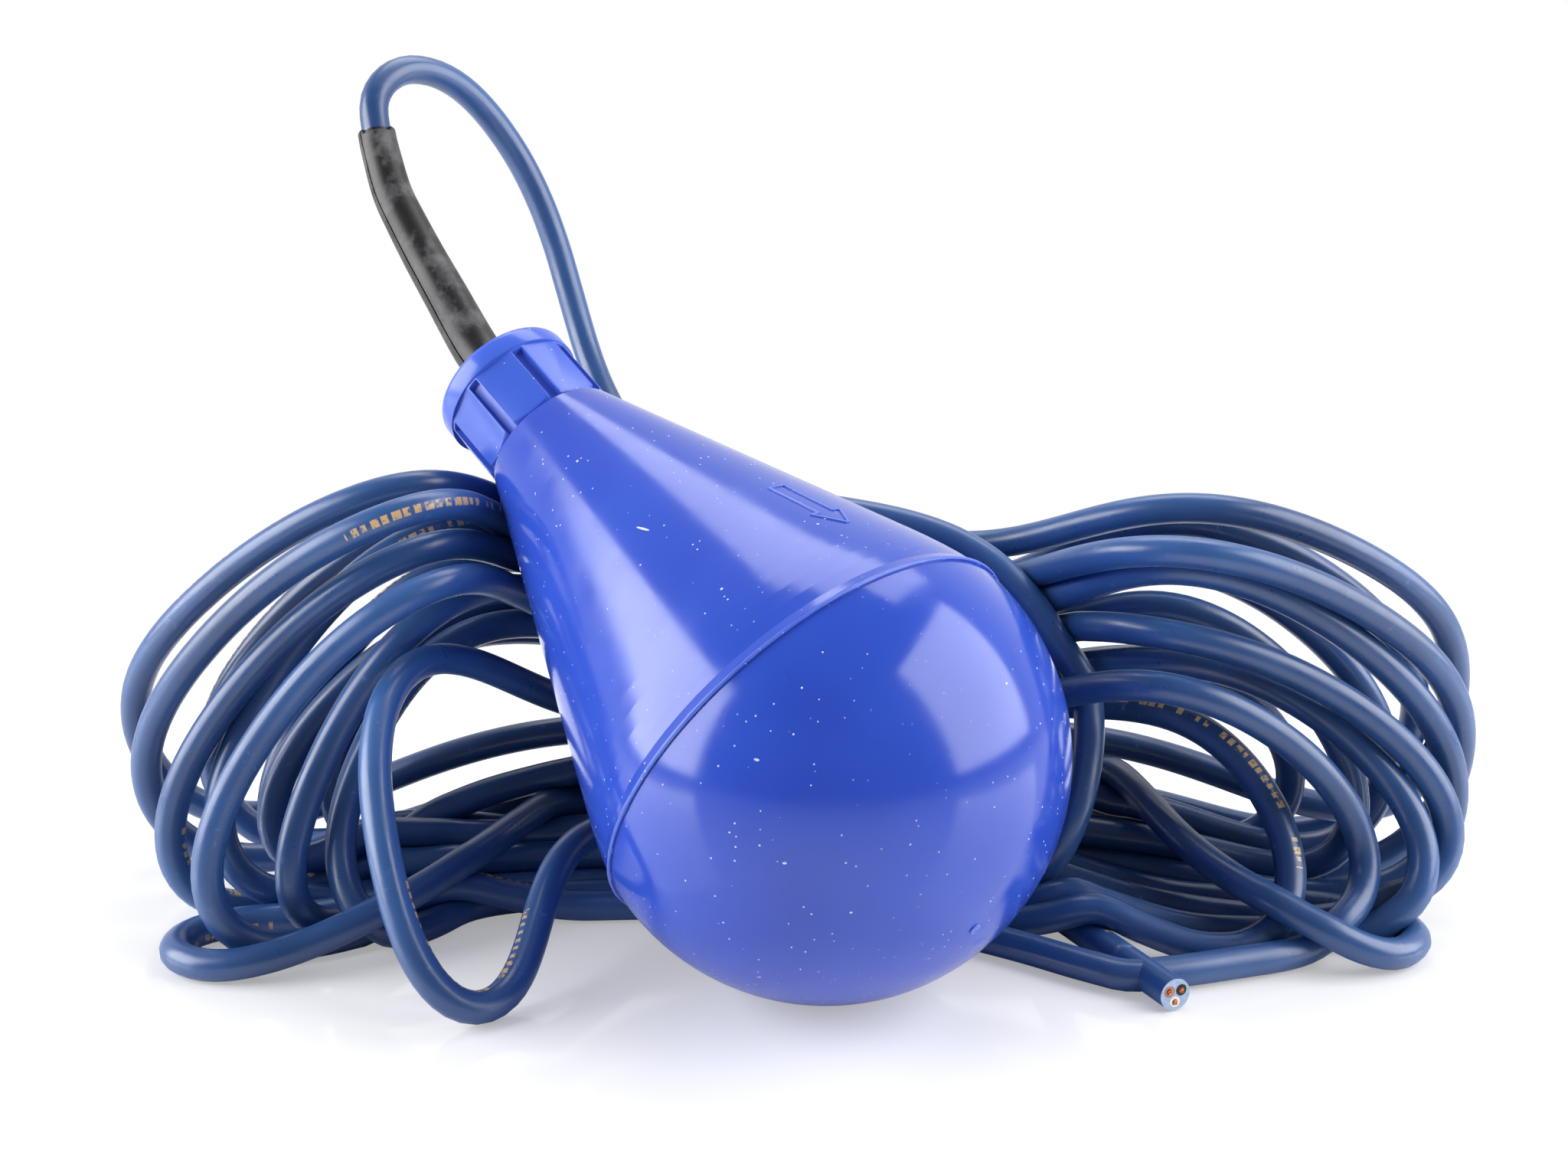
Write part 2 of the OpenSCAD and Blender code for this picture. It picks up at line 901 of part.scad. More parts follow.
casing_cone();
casing_bowl();
gland_nut();
gland_washer();
gland_seal();
bend_sleeve();
switch_carrier();
carrier_lid();
ball_track();
roller_ball();
switch_body();
switch_lever();
lever_pin();
switch_plunger();
switch_blades();
switch_screws();
cable_clamp();
clamp_screws();
cable_stub();
inner_core_a();
inner_core_b();
inner_core_c();
cable_lead();
cable_hank();
cable_loop();
cable_tail();
cable_end();
end_core_a();
end_core_b();
end_core_c();
end_wire_a();
end_wire_b();
end_wire_c();
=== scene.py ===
"""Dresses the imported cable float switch: its finishes, its lead in a hank, and a pale studio."""
import logging
import math
from collections.abc import Callable
from dataclasses import dataclass
from enum import Enum

import bmesh
import bpy
import numpy as np
from mathutils import Matrix, Vector


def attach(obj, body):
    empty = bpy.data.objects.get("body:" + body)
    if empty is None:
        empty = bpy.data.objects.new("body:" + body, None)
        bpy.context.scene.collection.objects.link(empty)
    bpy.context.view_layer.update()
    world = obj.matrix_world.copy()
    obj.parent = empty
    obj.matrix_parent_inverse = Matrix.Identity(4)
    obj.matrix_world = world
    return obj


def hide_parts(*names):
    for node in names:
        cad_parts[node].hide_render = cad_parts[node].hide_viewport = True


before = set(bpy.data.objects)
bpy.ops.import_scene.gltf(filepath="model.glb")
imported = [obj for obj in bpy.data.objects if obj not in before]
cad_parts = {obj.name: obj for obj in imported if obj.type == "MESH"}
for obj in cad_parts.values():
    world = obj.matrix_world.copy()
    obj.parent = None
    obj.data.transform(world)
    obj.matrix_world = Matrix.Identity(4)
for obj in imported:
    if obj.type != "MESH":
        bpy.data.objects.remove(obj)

LOG = logging.getLogger("float_switch")
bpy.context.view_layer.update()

FLOAT_BODY = "float"

Point = tuple[float, float, float]
Colour = tuple[float, float, float]


class Layout:
    """The axes in which the object is seen: origin under the ball, X to the right, Y away from the camera."""

    TURN = math.radians(46.0)
    LEAN = math.radians(33.4)
    FLOAT_BACK = 0.030
    BALL_RADIUS = 0.050

    @classmethod
    def to_row(cls, points: np.ndarray) -> np.ndarray:
        """Turn layout points into the model's own frame.

        Args:
            points: Points as rows of x, y and z, in metres.

        Returns:
            The same points in the model's frame.
        """
        c, s = math.cos(cls.TURN), math.sin(cls.TURN)
        p = np.atleast_2d(np.asarray(points, dtype=float))
        return np.column_stack((c * p[:, 0] + s * p[:, 1], -s * p[:, 0] + c * p[:, 1] - cls.FLOAT_BACK, p[:, 2]))

    @classmethod
    def float_axis(cls) -> np.ndarray:
        """Give the float's axis as a unit vector in the layout."""
        return np.array([
            -math.sin(cls.TURN) * math.cos(cls.LEAN),
            math.cos(cls.TURN) * math.cos(cls.LEAN),
            math.sin(cls.LEAN),
        ])

    @classmethod
    def on_axis(cls, height: float) -> np.ndarray:
        """Give the layout point at a height along the float's axis."""
        return np.array([0.0, 0.0, cls.BALL_RADIUS]) + cls.float_axis() * height

    @classmethod
    def float_place(cls) -> Matrix:
        """Give the matrix that sets a piece drawn upright about the ball's centre on the leaning float."""
        return (Matrix.Translation((0.0, -cls.FLOAT_BACK, cls.BALL_RADIUS))
                @ Matrix.Rotation(cls.LEAN - math.pi / 2.0, 4, "X"))


def srgb(red: int, green: int, blue: int) -> Colour:
    """Turn a colour written as 0 to 255 into the linear values that a shader takes.

    Args:
        red: Red, 0 to 255.
        green: Green, 0 to 255.
        blue: Blue, 0 to 255.

    Returns:
        The linear colour.
    """
    def linear(level: int) -> float:
        """Give one channel's linear value."""
        v = level / 255.0
        return v / 12.92 if v <= 0.04045 else ((v + 0.055) / 1.055) ** 2.4

    return linear(red), linear(green), linear(blue)


class ShaderDesk:
    """A new material's node tree, with one short call for each kind of node that the finishes use."""

    def __init__(self, name: str) -> None:
        """Start a material with a Principled shader and object coordinates."""
        self.material = bpy.data.materials.new(name)
        self.material.use_nodes = True
        self.tree = self.material.node_tree
        self.tree.nodes.clear()
        self.shader = self.tree.nodes.new("ShaderNodeBsdfPrincipled")
        self.output = self.tree.nodes.new("ShaderNodeOutputMaterial")
        self.tree.links.new(self.shader.outputs["BSDF"], self.output.inputs["Surface"])
        self.coordinates = self.tree.nodes.new("ShaderNodeTexCoord")

    def set(self, **levels: object) -> None:
        """Set sockets of the Principled shader, named with underscores for spaces."""
        for name, level in levels.items():
            socket = self.shader.inputs[name.replace("_", " ")]
            socket.default_value = (*level, 1.0) if isinstance(level, tuple) else level

    def feed(self, socket_name: str, source: bpy.types.NodeSocket) -> None:
        """Link a source into one socket of the Principled shader."""
        self.tree.links.new(source, self.shader.inputs[socket_name])

    def place(self, stretch: Point = (1.0, 1.0, 1.0), turn: Point = (0.0, 0.0, 0.0)) -> bpy.types.NodeSocket:
        """Give the object's coordinates, stretched and turned.

        Args:
            stretch: Scale along each axis.
            turn: Rotation in radians.

        Returns:
            The vector socket.
        """
        node = self.tree.nodes.new("ShaderNodeMapping")
        node.inputs["Scale"].default_value = stretch
        node.inputs["Rotation"].default_value = turn
        self.tree.links.new(self.coordinates.outputs["Object"], node.inputs["Vector"])
        return node.outputs["Vector"]

    def noise(self, scale: float, detail: float = 3.0, rough: float = 0.5,
              vector: bpy.types.NodeSocket | None = None) -> bpy.types.NodeSocket:
        """Add a noise texture.

        Args:
            scale: Features per metre.
            detail: Octaves.
            rough: Weight of the finer octaves.
            vector: Coordinates, or None for the object's own.

        Returns:
            The noise factor.
        """
        node = self.tree.nodes.new("ShaderNodeTexNoise")
        node.inputs["Scale"].default_value = scale
        node.inputs["Detail"].default_value = detail
        node.inputs["Roughness"].default_value = rough
        self.tree.links.new(vector or self.coordinates.outputs["Object"], node.inputs["Vector"])
        return node.outputs["Fac"]

    def specks(self, scale: float, size: float, share: float,
               vector: bpy.types.NodeSocket | None = None) -> bpy.types.NodeSocket:
        """Add scattered round specks.

        Args:
            scale: Cells per metre, each of which may hold a speck.
            size: Radius of a speck as a share of its cell.
            share: Share of the cells that hold one.
            vector: Coordinates, or None for the object's own.

        Returns:
            A mask that is 1 on a speck.
        """
        node = self.tree.nodes.new("ShaderNodeTexVoronoi")
        node.inputs["Scale"].default_value = scale
        self.tree.links.new(vector or self.coordinates.outputs["Object"], node.inputs["Vector"])
        spot = self.sums("LESS_THAN", node.outputs["Distance"], size)
        parts = self.tree.nodes.new("ShaderNodeSeparateColor")
        self.tree.links.new(node.outputs["Color"], parts.inputs["Color"])
        chosen = self.sums("LESS_THAN", parts.outputs["Red"], share)
        return self.sums("MULTIPLY", spot, chosen)

    def sums(self, operation: str, first: object, second: object = 0.5) -> bpy.types.NodeSocket:
        """Add a Math node.

        Args:
            operation: The node's operation.
            first: A socket or a number.
            second: A socket or a number.

        Returns:
            The result.
        """
        node = self.tree.nodes.new("ShaderNodeMath")
        node.operation = operation
        for place, value in enumerate((first, second)):
            if isinstance(value, bpy.types.NodeSocket):
                self.tree.links.new(value, node.inputs[place])
            else:
                node.inputs[place].default_value = value
        return node.outputs["Value"]

    def spread(self, factor: bpy.types.NodeSocket, low: float, high: float,
               out_low: float = 0.0, out_high: float = 1.0) -> bpy.types.NodeSocket:
        """Map a factor from one range to another, held at both ends.

        Args:
            factor: The incoming factor.
            low: Start of the incoming range.
            high: End of the incoming range.
            out_low: Start of the outgoing range.
            out_high: End of the outgoing range.

        Returns:
            The mapped value.
        """
        node = self.tree.nodes.new("ShaderNodeMapRange")
        for name, value in (("From Min", low), ("From Max", high), ("To Min", out_low), ("To Max", out_high)):
            node.inputs[name].default_value = value
        self.tree.links.new(factor, node.inputs["Value"])
        return node.outputs["Result"]

    def blend(self, factor: bpy.types.NodeSocket, first: object, second: object) -> bpy.types.NodeSocket:
        """Mix two colours.

        Args:
            factor: 0 gives the first, 1 the second.
            first: A colour or a socket.
            second: A colour or a socket.

        Returns:
            The mixed colour.
        """
        node = self.tree.nodes.new("ShaderNodeMix")
        node.data_type = "RGBA"
        self.tree.links.new(factor, node.inputs["Factor"])
        for socket, value in ((node.inputs[6], first), (node.inputs[7], second)):
            if isinstance(value, bpy.types.NodeSocket):
                self.tree.links.new(value, socket)
            else:
                socket.default_value = (*value, 1.0)
        return node.outputs[2]

    def route(self) -> tuple[bpy.types.NodeSocket, bpy.types.NodeSocket]:
        """Give a cord's own coordinates: metres along it, and turns around it."""
        node = self.tree.nodes.new("ShaderNodeUVMap")
        node.uv_map = Mesh.ROUTE_MAP
        parts = self.tree.nodes.new("ShaderNodeSeparateXYZ")
        self.tree.links.new(node.outputs["UV"], parts.inputs["Vector"])
        return parts.outputs["X"], parts.outputs["Y"]

    def chance(self, number: bpy.types.NodeSocket) -> bpy.types.NodeSocket:
        """Give a fixed random value between 0 and 1 for each whole number."""
        node = self.tree.nodes.new("ShaderNodeTexWhiteNoise")
        node.noise_dimensions = "1D"
        self.tree.links.new(number, node.inputs["W"])
        return node.outputs["Value"]

    def bump(self, height: bpy.types.NodeSocket, depth: float, strength: float = 1.0) -> None:
        """Give the shader small relief from a height.

        Args:
            height: The height, 0 to 1.
            depth: Relief in metres for a height of 1.
            strength: How strongly it shows.
        """
        node = self.tree.nodes.new("ShaderNodeBump")
        node.inputs["Strength"].default_value = strength
        node.inputs["Distance"].default_value = depth
        self.tree.links.new(height, node.inputs["Height"])
        self.tree.links.new(node.outputs["Normal"], self.shader.inputs["Normal"])


@dataclass(frozen=True)
class GlossyCasing:
    """Glossy moulded plastic with dust, fine scratches and slow shrink marks."""

    name: str = "float_casing_plastic"
    colour: Colour = srgb(46, 76, 182)
    deep_colour: Colour = srgb(40, 68, 172)
    dust_colour: Colour = srgb(190, 200, 230)
    roughness: float = 0.11
    dust_share: float = 0.5
    lint_share: float = 0.22
    scratch_depth: float = 0.00002

    def material(self) -> bpy.types.Material:
        """Build the material."""
        desk = ShaderDesk(self.name)
        desk.set(IOR=1.52)
        cloud = desk.noise(28.0, 2.0)
        body = desk.blend(desk.spread(cloud, 0.35, 0.7), self.colour, self.deep_colour)
        patch = desk.spread(desk.noise(30.0, 2.0), 0.42, 0.56, 0.2, 1.0)
        fine = desk.specks(520.0, 0.105, self.dust_share)
        coarse = desk.specks(170.0, 0.05, 0.4 * self.dust_share)
        lint = desk.specks(240.0, 0.06, self.lint_share, desk.place((1.0, 0.12, 1.0), (0.5, 0.3, 0.9)))
        grains = desk.sums("MULTIPLY", desk.sums("MAXIMUM", fine, coarse), patch)
        dust = desk.sums("MAXIMUM", grains, lint)
        desk.feed("Base Color", desk.blend(dust, body, self.dust_colour))
        scratch_noise = desk.noise(60.0, 5.0, 0.7, desk.place((1.0, 14.0, 1.0), (0.6, 0.2, 0.5)))
        scratches = desk.spread(scratch_noise, 0.62, 0.66)
        wear = desk.spread(desk.noise(90.0, 4.0, 0.6), 0.35, 0.75, self.roughness, self.roughness + 0.09)
        desk.feed("Roughness", desk.sums("ADD", wear, desk.sums("MULTIPLY", dust, 0.4)))
        relief = desk.sums("ADD", desk.sums("MULTIPLY", scratches, -0.25), desk.noise(35.0, 1.0))
        desk.bump(desk.sums("ADD", relief, dust), self.scratch_depth, 0.35)
        return desk.material


@dataclass(frozen=True)
class SleeveRubber:
    """Dull black rubber with dusty smudges."""

    name: str = "bend_sleeve_rubber"
    colour: Colour = srgb(26, 26, 28)
    dust_colour: Colour = srgb(126, 127, 130)

    def material(self) -> bpy.types.Material:
        """Build the material."""
        desk = ShaderDesk(self.name)
        desk.set(IOR=1.5)
        smudge = desk.spread(desk.noise(140.0, 6.0, 0.65), 0.48, 0.74)
        powder = desk.specks(900.0, 0.16, 0.35)
        dust = desk.sums("MAXIMUM", desk.sums("MULTIPLY", smudge, 0.6), desk.sums("MULTIPLY", powder, smudge))
        desk.feed("Base Color", desk.blend(dust, self.colour, self.dust_colour))
        desk.feed("Roughness", desk.spread(dust, 0.0, 1.0, 0.42, 0.75))
        desk.bump(desk.noise(1500.0, 3.0), 0.00006, 0.4)
        return desk.material


@dataclass(frozen=True)
class CableJacket:
    """Semi-gloss jacket with slight colour drift, faint ripples from drawing, and where asked rows of gold bars."""

    name: str = "lead_jacket"
    colour: Colour = srgb(51, 91, 150)
    dark_colour: Colour = srgb(33, 64, 112)
    scuff_colour: Colour = srgb(116, 146, 192)
    mark_colour: Colour = srgb(196, 164, 118)
    marked: bool = False
    group_period: float = 0.23
    group_share: float = 0.27
    bar_pitch: float = 0.0021
    row_half: float = 0.043
    twist: float = 1.3

    def bars(self, desk: ShaderDesk) -> bpy.types.NodeSocket:
        """Lay groups of small printed bars in one row along the lead.

        Args:
            desk: The material in the making.

        Returns:
            A mask that is 1 on a bar.
        """
        run, turn = desk.route()
        group = desk.sums("FRACT", desk.sums("DIVIDE", run, self.group_period), 0.0)
        in_group = desk.sums("LESS_THAN", group, self.group_share)
        cell = desk.sums("DIVIDE", run, self.bar_pitch)
        luck = desk.chance(desk.sums("FLOOR", cell, 0.0))
        bar = desk.sums("LESS_THAN", desk.sums("FRACT", cell, 0.0), desk.spread(luck, 0.0, 1.0, 0.3, 0.85))
        shown = desk.sums("MULTIPLY", bar, desk.sums("GREATER_THAN", luck, 0.14))
        wound = desk.sums("FRACT", desk.sums("ADD", turn, desk.sums("MULTIPLY", run, self.twist)), 0.0)
        off_row = desk.sums("ABSOLUTE", desk.sums("SUBTRACT", wound, 0.5), 0.0)
        tall = desk.spread(luck, 0.3, 0.6, self.row_half * 0.8, self.row_half)
        in_row = desk.sums("LESS_THAN", off_row, tall)
        worn = desk.spread(desk.noise(900.0, 3.0), 0.36, 0.46)
        return desk.sums("MULTIPLY", desk.sums("MULTIPLY", in_group, shown), desk.sums("MULTIPLY", in_row, worn))

    def material(self) -> bpy.types.Material:
        """Build the material."""
        desk = ShaderDesk(self.name)
        desk.set(IOR=1.5, Specular_IOR_Level=0.72)
        drift = desk.spread(desk.noise(16.0, 3.0), 0.35, 0.65)
        body = desk.blend(drift, self.colour, self.dark_colour)
        scuffs = desk.spread(desk.noise(260.0, 5.0, 0.7), 0.64, 0.72, 0.0, 0.35)
        colour = desk.blend(scuffs, body, self.scuff_colour)
        if self.marked:
            colour = desk.blend(self.bars(desk), colour, self.mark_colour)
        desk.feed("Base Color", colour)
        desk.feed("Roughness", desk.spread(desk.noise(120.0, 4.0, 0.6), 0.3, 0.7, 0.26, 0.4))
        desk.bump(desk.noise(330.0, 3.0), 0.00012, 0.3)
        return desk.material


@dataclass(frozen=True)
class CutJacket:
    """The jacket at its cut: the skin as on the lead, and a dull pale face where the blade went through."""

    name: str = "lead_cut"
    colour: Colour = srgb(45, 82, 139)
    face_colour: Colour = srgb(172, 190, 216)
    drag_colour: Colour = srgb(128, 152, 190)
    face_depth: float = 0.00006

    def material(self) -> bpy.types.Material:
        """Build the material."""
        desk = ShaderDesk(self.name)
        desk.set(IOR=1.5)
        face = CutEnd()
        along = desk.tree.nodes.new("ShaderNodeVectorMath")
        along.operation = "DOT_PRODUCT"
        desk.tree.links.new(desk.coordinates.outputs["Object"], along.inputs[0])
        along.inputs[1].default_value = tuple(face.outward())
        limit = float(face.face_point() @ face.outward()) - self.face_depth
        at_face = desk.sums("GREATER_THAN", along.outputs["Value"], limit)
        drag = desk.spread(desk.noise(900.0, 4.0, 0.6, desk.place((1.0, 1.0, 5.0))), 0.4, 0.7)
        cut = desk.blend(drag, self.face_colour, self.drag_colour)
        desk.feed("Base Color", desk.blend(at_face, self.colour, cut))
        desk.feed("Roughness", desk.spread(at_face, 0.0, 1.0, 0.3, 0.6))
        desk.bump(desk.noise(1400.0, 3.0), 0.00005, 0.4)
        return desk.material


@dataclass(frozen=True)
class PlainPlastic:
    """Moulded or extruded plastic in one colour, with a fine moulded grain."""

    name: str
    colour: Colour
    roughness: float = 0.42
    shade: float = 0.8
    grain: float = 900.0

    def material(self) -> bpy.types.Material:
        """Build the material."""
        desk = ShaderDesk(self.name)
        desk.set(IOR=1.48)
        dark = tuple(level * self.shade for level in self.colour)
        desk.feed("Base Color", desk.blend(desk.spread(desk.noise(160.0, 4.0), 0.35, 0.7), self.colour, dark))
        desk.feed("Roughness", desk.spread(desk.noise(300.0), 0.3, 0.7, self.roughness - 0.06, self.roughness + 0.1))
        desk.bump(desk.noise(self.grain), 0.00005, 0.3)
        return desk.material


@dataclass(frozen=True)
class BareMetal:
    """Bare metal with drawn lines and a slight tarnish."""

    name: str
    colour: Colour
    tarnish: Colour
    roughness: float = 0.3

    def material(self) -> bpy.types.Material:
        """Build the material."""
        desk = ShaderDesk(self.name)
        desk.set(Metallic=1.0)
        stain = desk.spread(desk.noise(500.0, 5.0, 0.6), 0.4, 0.75)
        desk.feed("Base Color", desk.blend(stain, self.colour, self.tarnish))
        lines = desk.noise(700.0, 4.0, 0.6, desk.place((1.0, 1.0, 12.0)))
        desk.feed("Roughness", desk.spread(lines, 0.3, 0.7, self.roughness - 0.08, self.roughness + 0.12))
        desk.bump(lines, 0.00003, 0.3)
        return desk.material


class Finish(Enum):
    """The finishes of the object, by the piece that wears them."""

    CASING = GlossyCasing()
    NUT = GlossyCasing(name="gland_nut_plastic", colour=srgb(68, 100, 204), deep_colour=srgb(60, 90, 196),
                       roughness=0.18, dust_share=0.2, lint_share=0.04)
    FLASH = GlossyCasing(name="seam_flash_plastic", colour=srgb(66, 96, 196), deep_colour=srgb(96, 120, 206),
                         roughness=0.3, dust_share=0.95)
    SLEEVE = SleeveRubber()
    JACKET = CableJacket()
    PRINTED_JACKET = CableJacket(name="lead_jacket_printed", marked=True)
    CUT = CutJacket()
    SEAL = PlainPlastic("seal_rubber", srgb(30, 30, 32), 0.6)
    INNER = PlainPlastic("switch_frame_plastic", srgb(214, 213, 205))
    TRACK = PlainPlastic("ball_track_plastic", srgb(232, 231, 222), 0.34)
    SWITCH = PlainPlastic("switch_case_plastic", srgb(40, 40, 43), 0.5)
    PLUNGER = PlainPlastic("plunger_plastic", srgb(190, 46, 38), 0.35)
    CORE_BROWN = PlainPlastic("core_insulation_brown", srgb(176, 120, 104), 0.4)
    CORE_BLACK = PlainPlastic("core_insulation_black", srgb(22, 22, 24), 0.4)
    CORE_WHITE = PlainPlastic("core_insulation_white", srgb(236, 235, 230), 0.4)
    STEEL = BareMetal("roller_steel", srgb(198, 200, 204), srgb(168, 170, 174), 0.16)
    SPRING = BareMetal("spring_steel", srgb(190, 188, 184), srgb(150, 146, 138), 0.34)
    BRASS = BareMetal("blade_brass", srgb(214, 178, 104), srgb(170, 132, 70), 0.3)
    COPPER = BareMetal("strand_copper", srgb(226, 146, 104), srgb(176, 98, 66), 0.32)

    def dress(self, piece: bpy.types.Object) -> None:
        """Give every material slot of a piece this finish."""
        made = bpy.data.materials.get(self.value.name) or self.value.material()
        if not piece.material_slots:
            piece.data.materials.append(made)
        for slot in piece.material_slots:
            slot.material = made


class Mesh:
    """Small helpers for meshes that are swept along a path."""

    ROUTE_MAP = "route"

    @staticmethod
    def new_object(name: str, points: np.ndarray, faces: list[tuple[int, ...]]) -> bpy.types.Object:
        """Make an object at the origin from points and faces.

        Args:
            name: The piece's name.
            points: Its corners, in metres.
            faces: Its faces, as corner numbers.

        Returns:
            The new object.
        """
        mesh = bpy.data.meshes.new(name)
        mesh.from_pydata([tuple(p) for p in points], [], faces)
        mesh.validate()
        piece = bpy.data.objects.new(name, mesh)
        bpy.context.scene.collection.objects.link(piece)
        return piece

    @staticmethod
    def frames(path: np.ndarray) -> tuple[np.ndarray, np.ndarray, np.ndarray]:
        """Carry a pair of side directions along a path without twisting.

        Args:
            path: The centreline.

        Returns:
            The directions along, beside and across the path at each point.
        """
        along = np.gradient(path, axis=0)
        along /= np.linalg.norm(along, axis=1)[:, None]
        beside = np.zeros_like(path)
        start = np.cross(along[0], (0.3, 0.5, 0.8))
        beside[0] = start / np.linalg.norm(start)
        for k in range(1, len(path)):
            carried = beside[k - 1] - along[k] * (beside[k - 1] @ along[k])
            beside[k] = carried / np.linalg.norm(carried)
        return along, beside, np.cross(along, beside)

    @classmethod
    def tube(cls, name: str, path: np.ndarray, radii: np.ndarray, sides: int) -> bpy.types.Object:
        """Sweep a round tube with closed ends along a path.

        Args:
            name: The piece's name.
            path: The centreline in the model's frame.
            radii: The radius at each point.
            sides: Facets around.

        Returns:
            The tube.
        """
        _, beside, across = cls.frames(path)
        turn = np.linspace(0.0, 2.0 * math.pi, sides, endpoint=False)
        rings = (path[:, None] + radii[:, None, None] * (
            np.cos(turn)[None, :, None] * beside[:, None] + np.sin(turn)[None, :, None] * across[:, None]))
        count = len(path)
        faces: list[tuple[int, ...]] = []
        for i in range(count - 1):
            for k in range(sides):
                n = (k + 1) % sides
                faces.append((i * sides + k, i * sides + n, (i + 1) * sides + n, (i + 1) * sides + k))
        faces.append(tuple(range(sides - 1, -1, -1)))
        faces.append(tuple((count - 1) * sides + k for k in range(sides)))
        piece = cls.new_object(name, rings.reshape(-1, 3), faces)
        piece.data.polygons.foreach_set("use_smooth", [len(f) == 4 for f in faces])
        cls.map_route(piece, path, sides)
        return piece

    @classmethod
    def map_route(cls, piece: bpy.types.Object, path: np.ndarray, sides: int) -> None:
        """Give a tube a map of metres along it and turns around it.

        Args:
            piece: The tube, its walls first and in order, then its two end faces.
            path: Its centreline.
            sides: Its facets around.
        """
        run = np.concatenate([[0.0], np.cumsum(np.linalg.norm(np.diff(path, axis=0), axis=1))])
        i, k = np.meshgrid(np.arange(len(path) - 1), np.arange(sides), indexing="ij")
        along = np.stack([run[i], run[i], run[i + 1], run[i + 1]], axis=-1)
        around = np.stack([k, k + 1, k + 1, k], axis=-1) / sides
        walls = np.stack([along, around], axis=-1).reshape(-1)
        flat = np.zeros(2 * len(piece.data.loops))
        flat[:len(walls)] = walls
        piece.data.uv_layers.new(name=cls.ROUTE_MAP).data.foreach_set("uv", flat)


class Bench:
    """The bench where pieces are shaped with Blender's own tools."""

    @staticmethod
    def clear() -> None:
        """Deselect everything."""
        bpy.ops.object.select_all(action="DESELECT")

    @classmethod
    def take(cls, piece: bpy.types.Object) -> None:
        """Make one piece the only one that is selected."""
        cls.clear()
        piece.select_set(True)
        bpy.context.view_layer.objects.active = piece

    @classmethod
    def name(cls, name: str) -> bpy.types.Object:
        """Name the primitive that was just added."""
        piece = bpy.context.active_object
        piece.name = name
        piece.data.name = name
        return piece

    @classmethod
    def open(cls, piece: bpy.types.Object, kind: str = "FACE") -> None:
        """Start editing a piece with nothing selected."""
        cls.take(piece)
        bpy.ops.object.mode_set(mode="EDIT")
        bpy.ops.mesh.select_mode(type=kind)
        bpy.ops.mesh.select_all(action="DESELECT")

    @staticmethod
    def close() -> None:
        """Stop editing."""
        bpy.ops.object.mode_set(mode="OBJECT")

    @staticmethod
    def pick_faces(piece: bpy.types.Object, test: Callable[[Vector, Vector], bool]) -> None:
        """Select the faces whose middle and normal pass a test.

        Args:
            piece: The piece that is being edited.
            test: Takes a face's middle and normal.
        """
        mesh = bmesh.from_edit_mesh(piece.data)
        for face in mesh.faces:
            face.select = test(face.calc_center_median(), face.normal)
        mesh.select_flush_mode()
        bmesh.update_edit_mesh(piece.data)

    @staticmethod
    def pick_edges(piece: bpy.types.Object, test: Callable[[Vector], bool]) -> None:
        """Select the edges whose two ends both pass a test.

        Args:
            piece: The piece that is being edited.
            test: Takes an end's place.
        """
        mesh = bmesh.from_edit_mesh(piece.data)
        for edge in mesh.edges:
            edge.select = all(test(corner.co) for corner in edge.verts)
        mesh.select_flush_mode()
        bmesh.update_edit_mesh(piece.data)

    @classmethod
    def apply(cls, piece: bpy.types.Object, kind: str, **settings: object) -> None:
        """Put a modifier on a piece and apply it.

        Args:
            piece: The piece.
            kind: The modifier's type.
            settings: Its settings.
        """
        cls.take(piece)
        modifier = piece.modifiers.new(kind.lower(), kind)
        for name, value in settings.items():
            setattr(modifier, name, value)
        bpy.ops.object.modifier_apply(modifier=modifier.name)

    @classmethod
    def smooth(cls, piece: bpy.types.Object, angle: float = 35.0) -> None:
        """Shade a piece smooth, but for edges sharper than an angle in degrees."""
        cls.take(piece)
        bpy.ops.object.shade_smooth_by_angle(angle=math.radians(angle))

    @classmethod
    def set_down(cls, piece: bpy.types.Object, place: Matrix) -> None:
        """Move a piece to its place and make that part of its mesh."""
        cls.take(piece)
        piece.matrix_world = place @ piece.matrix_world
        bpy.ops.object.transform_apply(location=True, rotation=True, scale=True)

    @staticmethod
    def declare(piece: bpy.types.Object, finish: Finish, slot: str, *stands_for: str) -> bpy.types.Object:
        """Dress a piece, let it ride on the float and hide the CAD nodes that it stands for.

        Args:
            piece: The finished piece.
            finish: Its finish.
            slot: The record's material slot. Not used.
            stands_for: CAD nodes that it replaces.

        Returns:
            The piece.
        """
        finish.dress(piece)
        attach(piece, FLOAT_BODY)
        if stands_for:
            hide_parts(*stands_for)
        return piece


